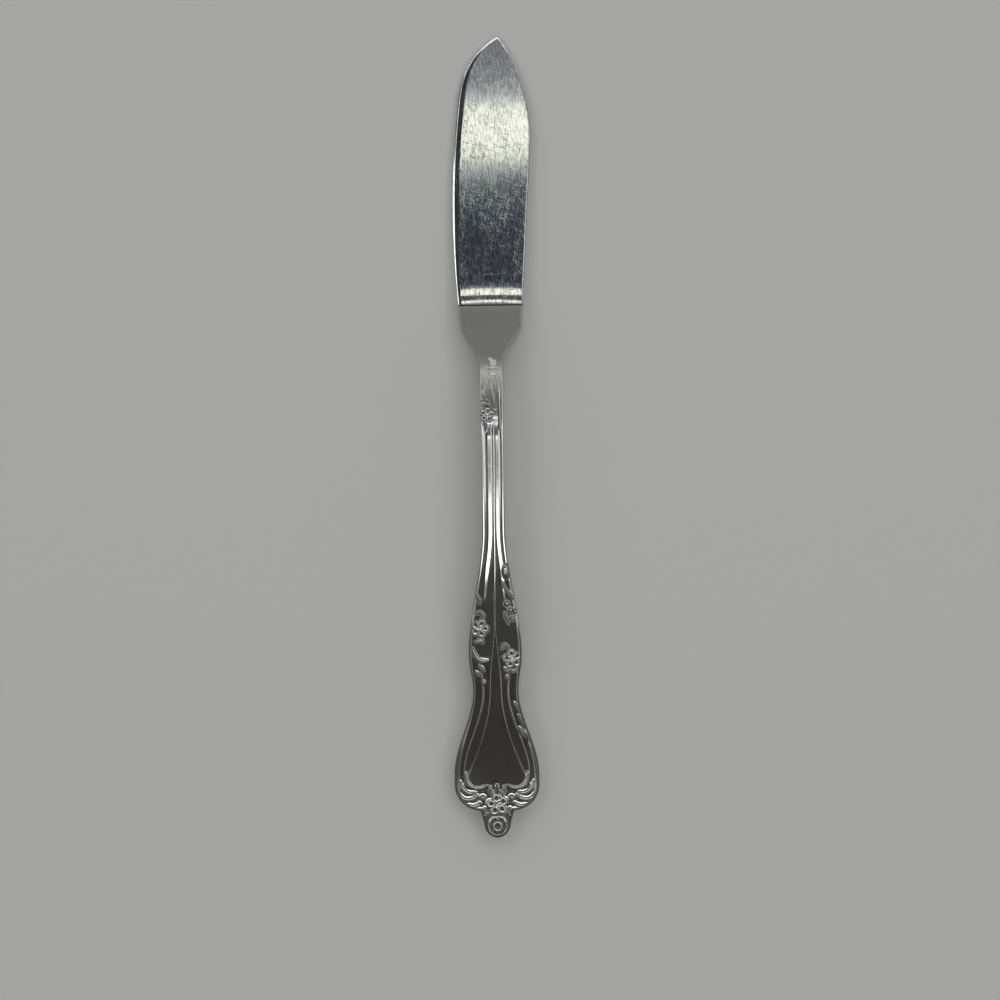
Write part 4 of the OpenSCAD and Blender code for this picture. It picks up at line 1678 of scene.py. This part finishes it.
@dataclass
class Studio:
    """Pale floor, soft lamps, a dim ceiling and the camera."""

    lamps: tuple[Lamp, ...]
    floor_tint: Colour = (0.462, 0.467, 0.457)
    floor_roughness: float = 0.9
    floor_shine: float = 0.1
    floor_size: float = 6.0
    floor_gap: float = 0.00005
    lane: Stops = (
        (-0.3, (0.038, 0.031, 0.027)),
        (-0.06, (0.044, 0.04, 0.037)),
        (0.1, (0.06, 0.066, 0.075)),
        (0.16, (0.19, 0.2, 0.21)),
        (0.25, (0.17, 0.18, 0.19)),
        (0.28, (0.05, 0.056, 0.064)),
        (0.315, (0.056, 0.066, 0.08)),
        (0.335, (0.1, 0.122, 0.15)),
        (0.35, (0.26, 0.31, 0.37)),
        (0.39, (0.39, 0.43, 0.48)),
        (0.401, (0.31, 0.33, 0.36)),
        (0.412, (0.25, 0.27, 0.285)),
        (0.43, (0.32, 0.335, 0.33)),
        (0.44, (0.1, 0.105, 0.105)),
        (0.505, (0.1, 0.105, 0.105)),
        (0.53, (0.085, 0.088, 0.086)),
    )
    lane_reach: Point = (0.14, 0.24)
    ceiling: Colour = (0.05, 0.055, 0.054)
    wall: Stops = (
        (0.0, (0.5, 0.505, 0.5)),
        (0.24, (0.5, 0.505, 0.5)),
        (0.34, (0.16, 0.162, 0.16)),
        (0.46, (0.16, 0.162, 0.16)),
        (0.5, (1.7, 1.7, 1.68)),
        (1.0, (1.7, 1.7, 1.68)),
    )
    wall_reach: Point = (0.74, 0.68)
    wall_span: Point = (-0.8, 0.8)
    wall_sides: Point = (0.85, 1.15)
    lens: float = 54.0
    sensor: float = 36.0
    clip_start: float = 0.01
    camera_place: Triple = (0.00083, -0.0492, 0.32886)
    camera_turn: Triple = (5.7, 0.0, -0.8176)

    def floor(self) -> bpy.types.Object:
        """Lays the floor just under the spreader.

        Returns:
            The floor's object.
        """
        bpy.ops.object.select_all(action="DESELECT")
        bpy.ops.mesh.primitive_plane_add(size=self.floor_size, location=(0.0, 0.0, -self.floor_gap))
        floor = bpy.context.object
        floor.name = "floor"
        bpy.ops.object.transform_apply(location=True, rotation=True, scale=True)
        paper = bpy.data.materials.new("pale_floor")
        paper.use_nodes = True
        shader = paper.node_tree.nodes["Principled BSDF"]
        shader.inputs["Base Color"].default_value = (*self.floor_tint, 1.0)
        shader.inputs["Roughness"].default_value = self.floor_roughness
        shader.inputs["Specular IOR Level"].default_value = self.floor_shine
        floor.data.materials.append(paper)
        return floor

    def surroundings(self) -> None:
        """Sets the room's light: a dim ceiling with a graded lane along it, and pale walls."""
        world = bpy.data.worlds.new("room")
        bpy.context.scene.world = world
        world.use_nodes = True
        bench = Bench(world.node_tree)
        background = bench.tree.nodes["Background"]
        way = bench.add("ShaderNodeSeparateXYZ")
        bench.link(bench.add("ShaderNodeTexCoord").outputs["Generated"], way.inputs["Vector"])
        along = bench.map_range(way.outputs["Y"], (-1.0, 1.0))
        lane = bench.ramp(along, tuple((0.5 + 0.5 * place, colour) for place, colour in self.lane))
        aside = bench.add("ShaderNodeMath", operation="ABSOLUTE")
        bench.link(way.outputs["X"], aside.inputs[0])
        off_lane = bench.map_range(aside.outputs["Value"], self.lane_reach, smooth=True)
        room = bench.mix_colour(off_lane, lane, self.ceiling)
        low = bench.map_range(way.outputs["Z"], self.wall_reach, smooth=True)
        sides = bench.map_range(way.outputs["X"], self.wall_span, self.wall_sides)
        wall = bench.tinted(sides, bench.ramp(way.outputs["Z"], self.wall))
        bench.link(bench.mix_colour(low, room, wall), background.inputs["Color"])

    def camera(self) -> bpy.types.Object:
        """Sets up the camera.

        Returns:
            The camera's object.
        """
        turn = [math.radians(angle) for angle in self.camera_turn]
        bpy.ops.object.camera_add(location=self.camera_place, rotation=turn)
        camera = bpy.context.object
        camera.data.lens = self.lens
        camera.data.sensor_width = self.sensor
        camera.data.clip_start = self.clip_start
        bpy.context.scene.camera = camera
        return camera

    def build(self) -> None:
        """Sets up everything round the object."""
        self.floor()
        self.surroundings()
        for lamp in self.lamps:
            lamp.build()
        self.camera()
        bpy.context.scene.view_settings.view_transform = "Standard"


def ceiling_lamp(name: str, place: Point, size: Point, radiance: float,
                 tint: Colour = WHITE) -> Lamp:
    """Lamp at the ceiling that shines straight down."""
    return Lamp(name, (*place, CEILING_HEIGHT), (*place, 0.0), *size, radiance, tint)


def studio_lamps() -> tuple[Lamp, ...]:
    """Hangs ceiling panels over the table for the streaks, and soft boxes at the sides.

    Returns:
        The lamps.
    """
    return (
        ceiling_lamp("ceiling_panel", (0.0, -0.026), (0.3, 0.208), 3.0),
        ceiling_lamp("ceiling_gap", (0.0, 0.106), (1.6, 0.056), 0.2),
        ceiling_lamp("ceiling_tube", (0.0, 0.145), (0.3, 0.022), 2.2),
        ceiling_lamp("far_strip", (0.0, 0.442), (0.36, 0.057), 1.45, (1.0, 0.98, 0.74)),
        ceiling_lamp("left_strip", (-0.3, -0.3), (0.28, 0.4), 0.27),
        ceiling_lamp("right_strip", (0.3, -0.3), (0.28, 0.4), 0.46),
        Lamp("right_soft", (0.5, 0.25, CEILING_HEIGHT), (0.0, 0.0, 0.0), 0.5, 0.5, 1.0),
        Lamp("left_box", (-1.1, 0.36, 0.5), (0.0, 0.06, 0.0), 0.36, 0.5, 2.4),
        Lamp("back_box", (0.0, 1.6, 0.55), (0.0, 0.0, 0.0), 3.4, 0.5, 1.5),
    )


def struck_steel(shoulder: float) -> SteelFinish:
    """Finishes the handle bright on body and stem, and satin on the neck.

    Args:
        shoulder: Place of the shoulder line, in metres in the frame.

    Returns:
        The finish.
    """
    return SteelFinish("struck_steel", (0.62, 0.62, 0.6), 0.085, brush_tone=0.08,
                       grain_depth=5e-7, scratch_depth=6e-7,
                       satin_run=(shoulder - 0.028, shoulder - 0.016), satin_roughness=0.22)


def ground_steel(shoulder: float) -> SteelFinish:
    """Finishes the blade brushed and polished, and scuffed by use beyond its ramp.

    Args:
        shoulder: Place of the shoulder line, in metres in the frame.

    Returns:
        The finish.
    """
    return SteelFinish("ground_steel", (0.6, 0.61, 0.63), 0.068, brush_tone=0.3,
                       grain_depth=1e-6, scratch_depth=8e-7, scuff_share=0.85,
                       scratch_angles=(8.0, -21.0, 40.0, 74.0),
                       wear_run=(shoulder + 0.004, shoulder + 0.014))


def main() -> None:
    """Builds the spreader and the studio round it."""
    logging.basicConfig(level=logging.INFO, format="%(name)s: %(message)s")
    Studio(studio_lamps()).build()
    low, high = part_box("handle")
    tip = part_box("blade")[1].y
    axis_x = 0.5 * (low.x + high.x)
    form = HandleForm(length=(high.y - low.y) / MM, body_half=0.5 * (high.x - low.x) / MM)
    motifs = (*end_spray(), *shoulder_leaflets(), *left_hip_spray(), *right_hip_spray(),
              *stem_spray())
    face = StruckFace(form, motifs, DullShadedGround(form))
    handle = Handle(form, face, struck_steel(high.y), (axis_x, low.y, 0.0))
    blade = Blade(BladeForm((tip - high.y) / MM), ground_steel(high.y), (axis_x, high.y, 0.0))
    for piece in (handle.build(), blade.build()):
        log.info("%s: %d faces", piece.name, len(piece.data.polygons))
    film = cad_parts["braze_film"]
    film.data.materials.clear()
    film.data.materials.append(BrazeFinish().material())
    log.info("%s: dressed", film.name)


if __name__ == "__main__":
    main()
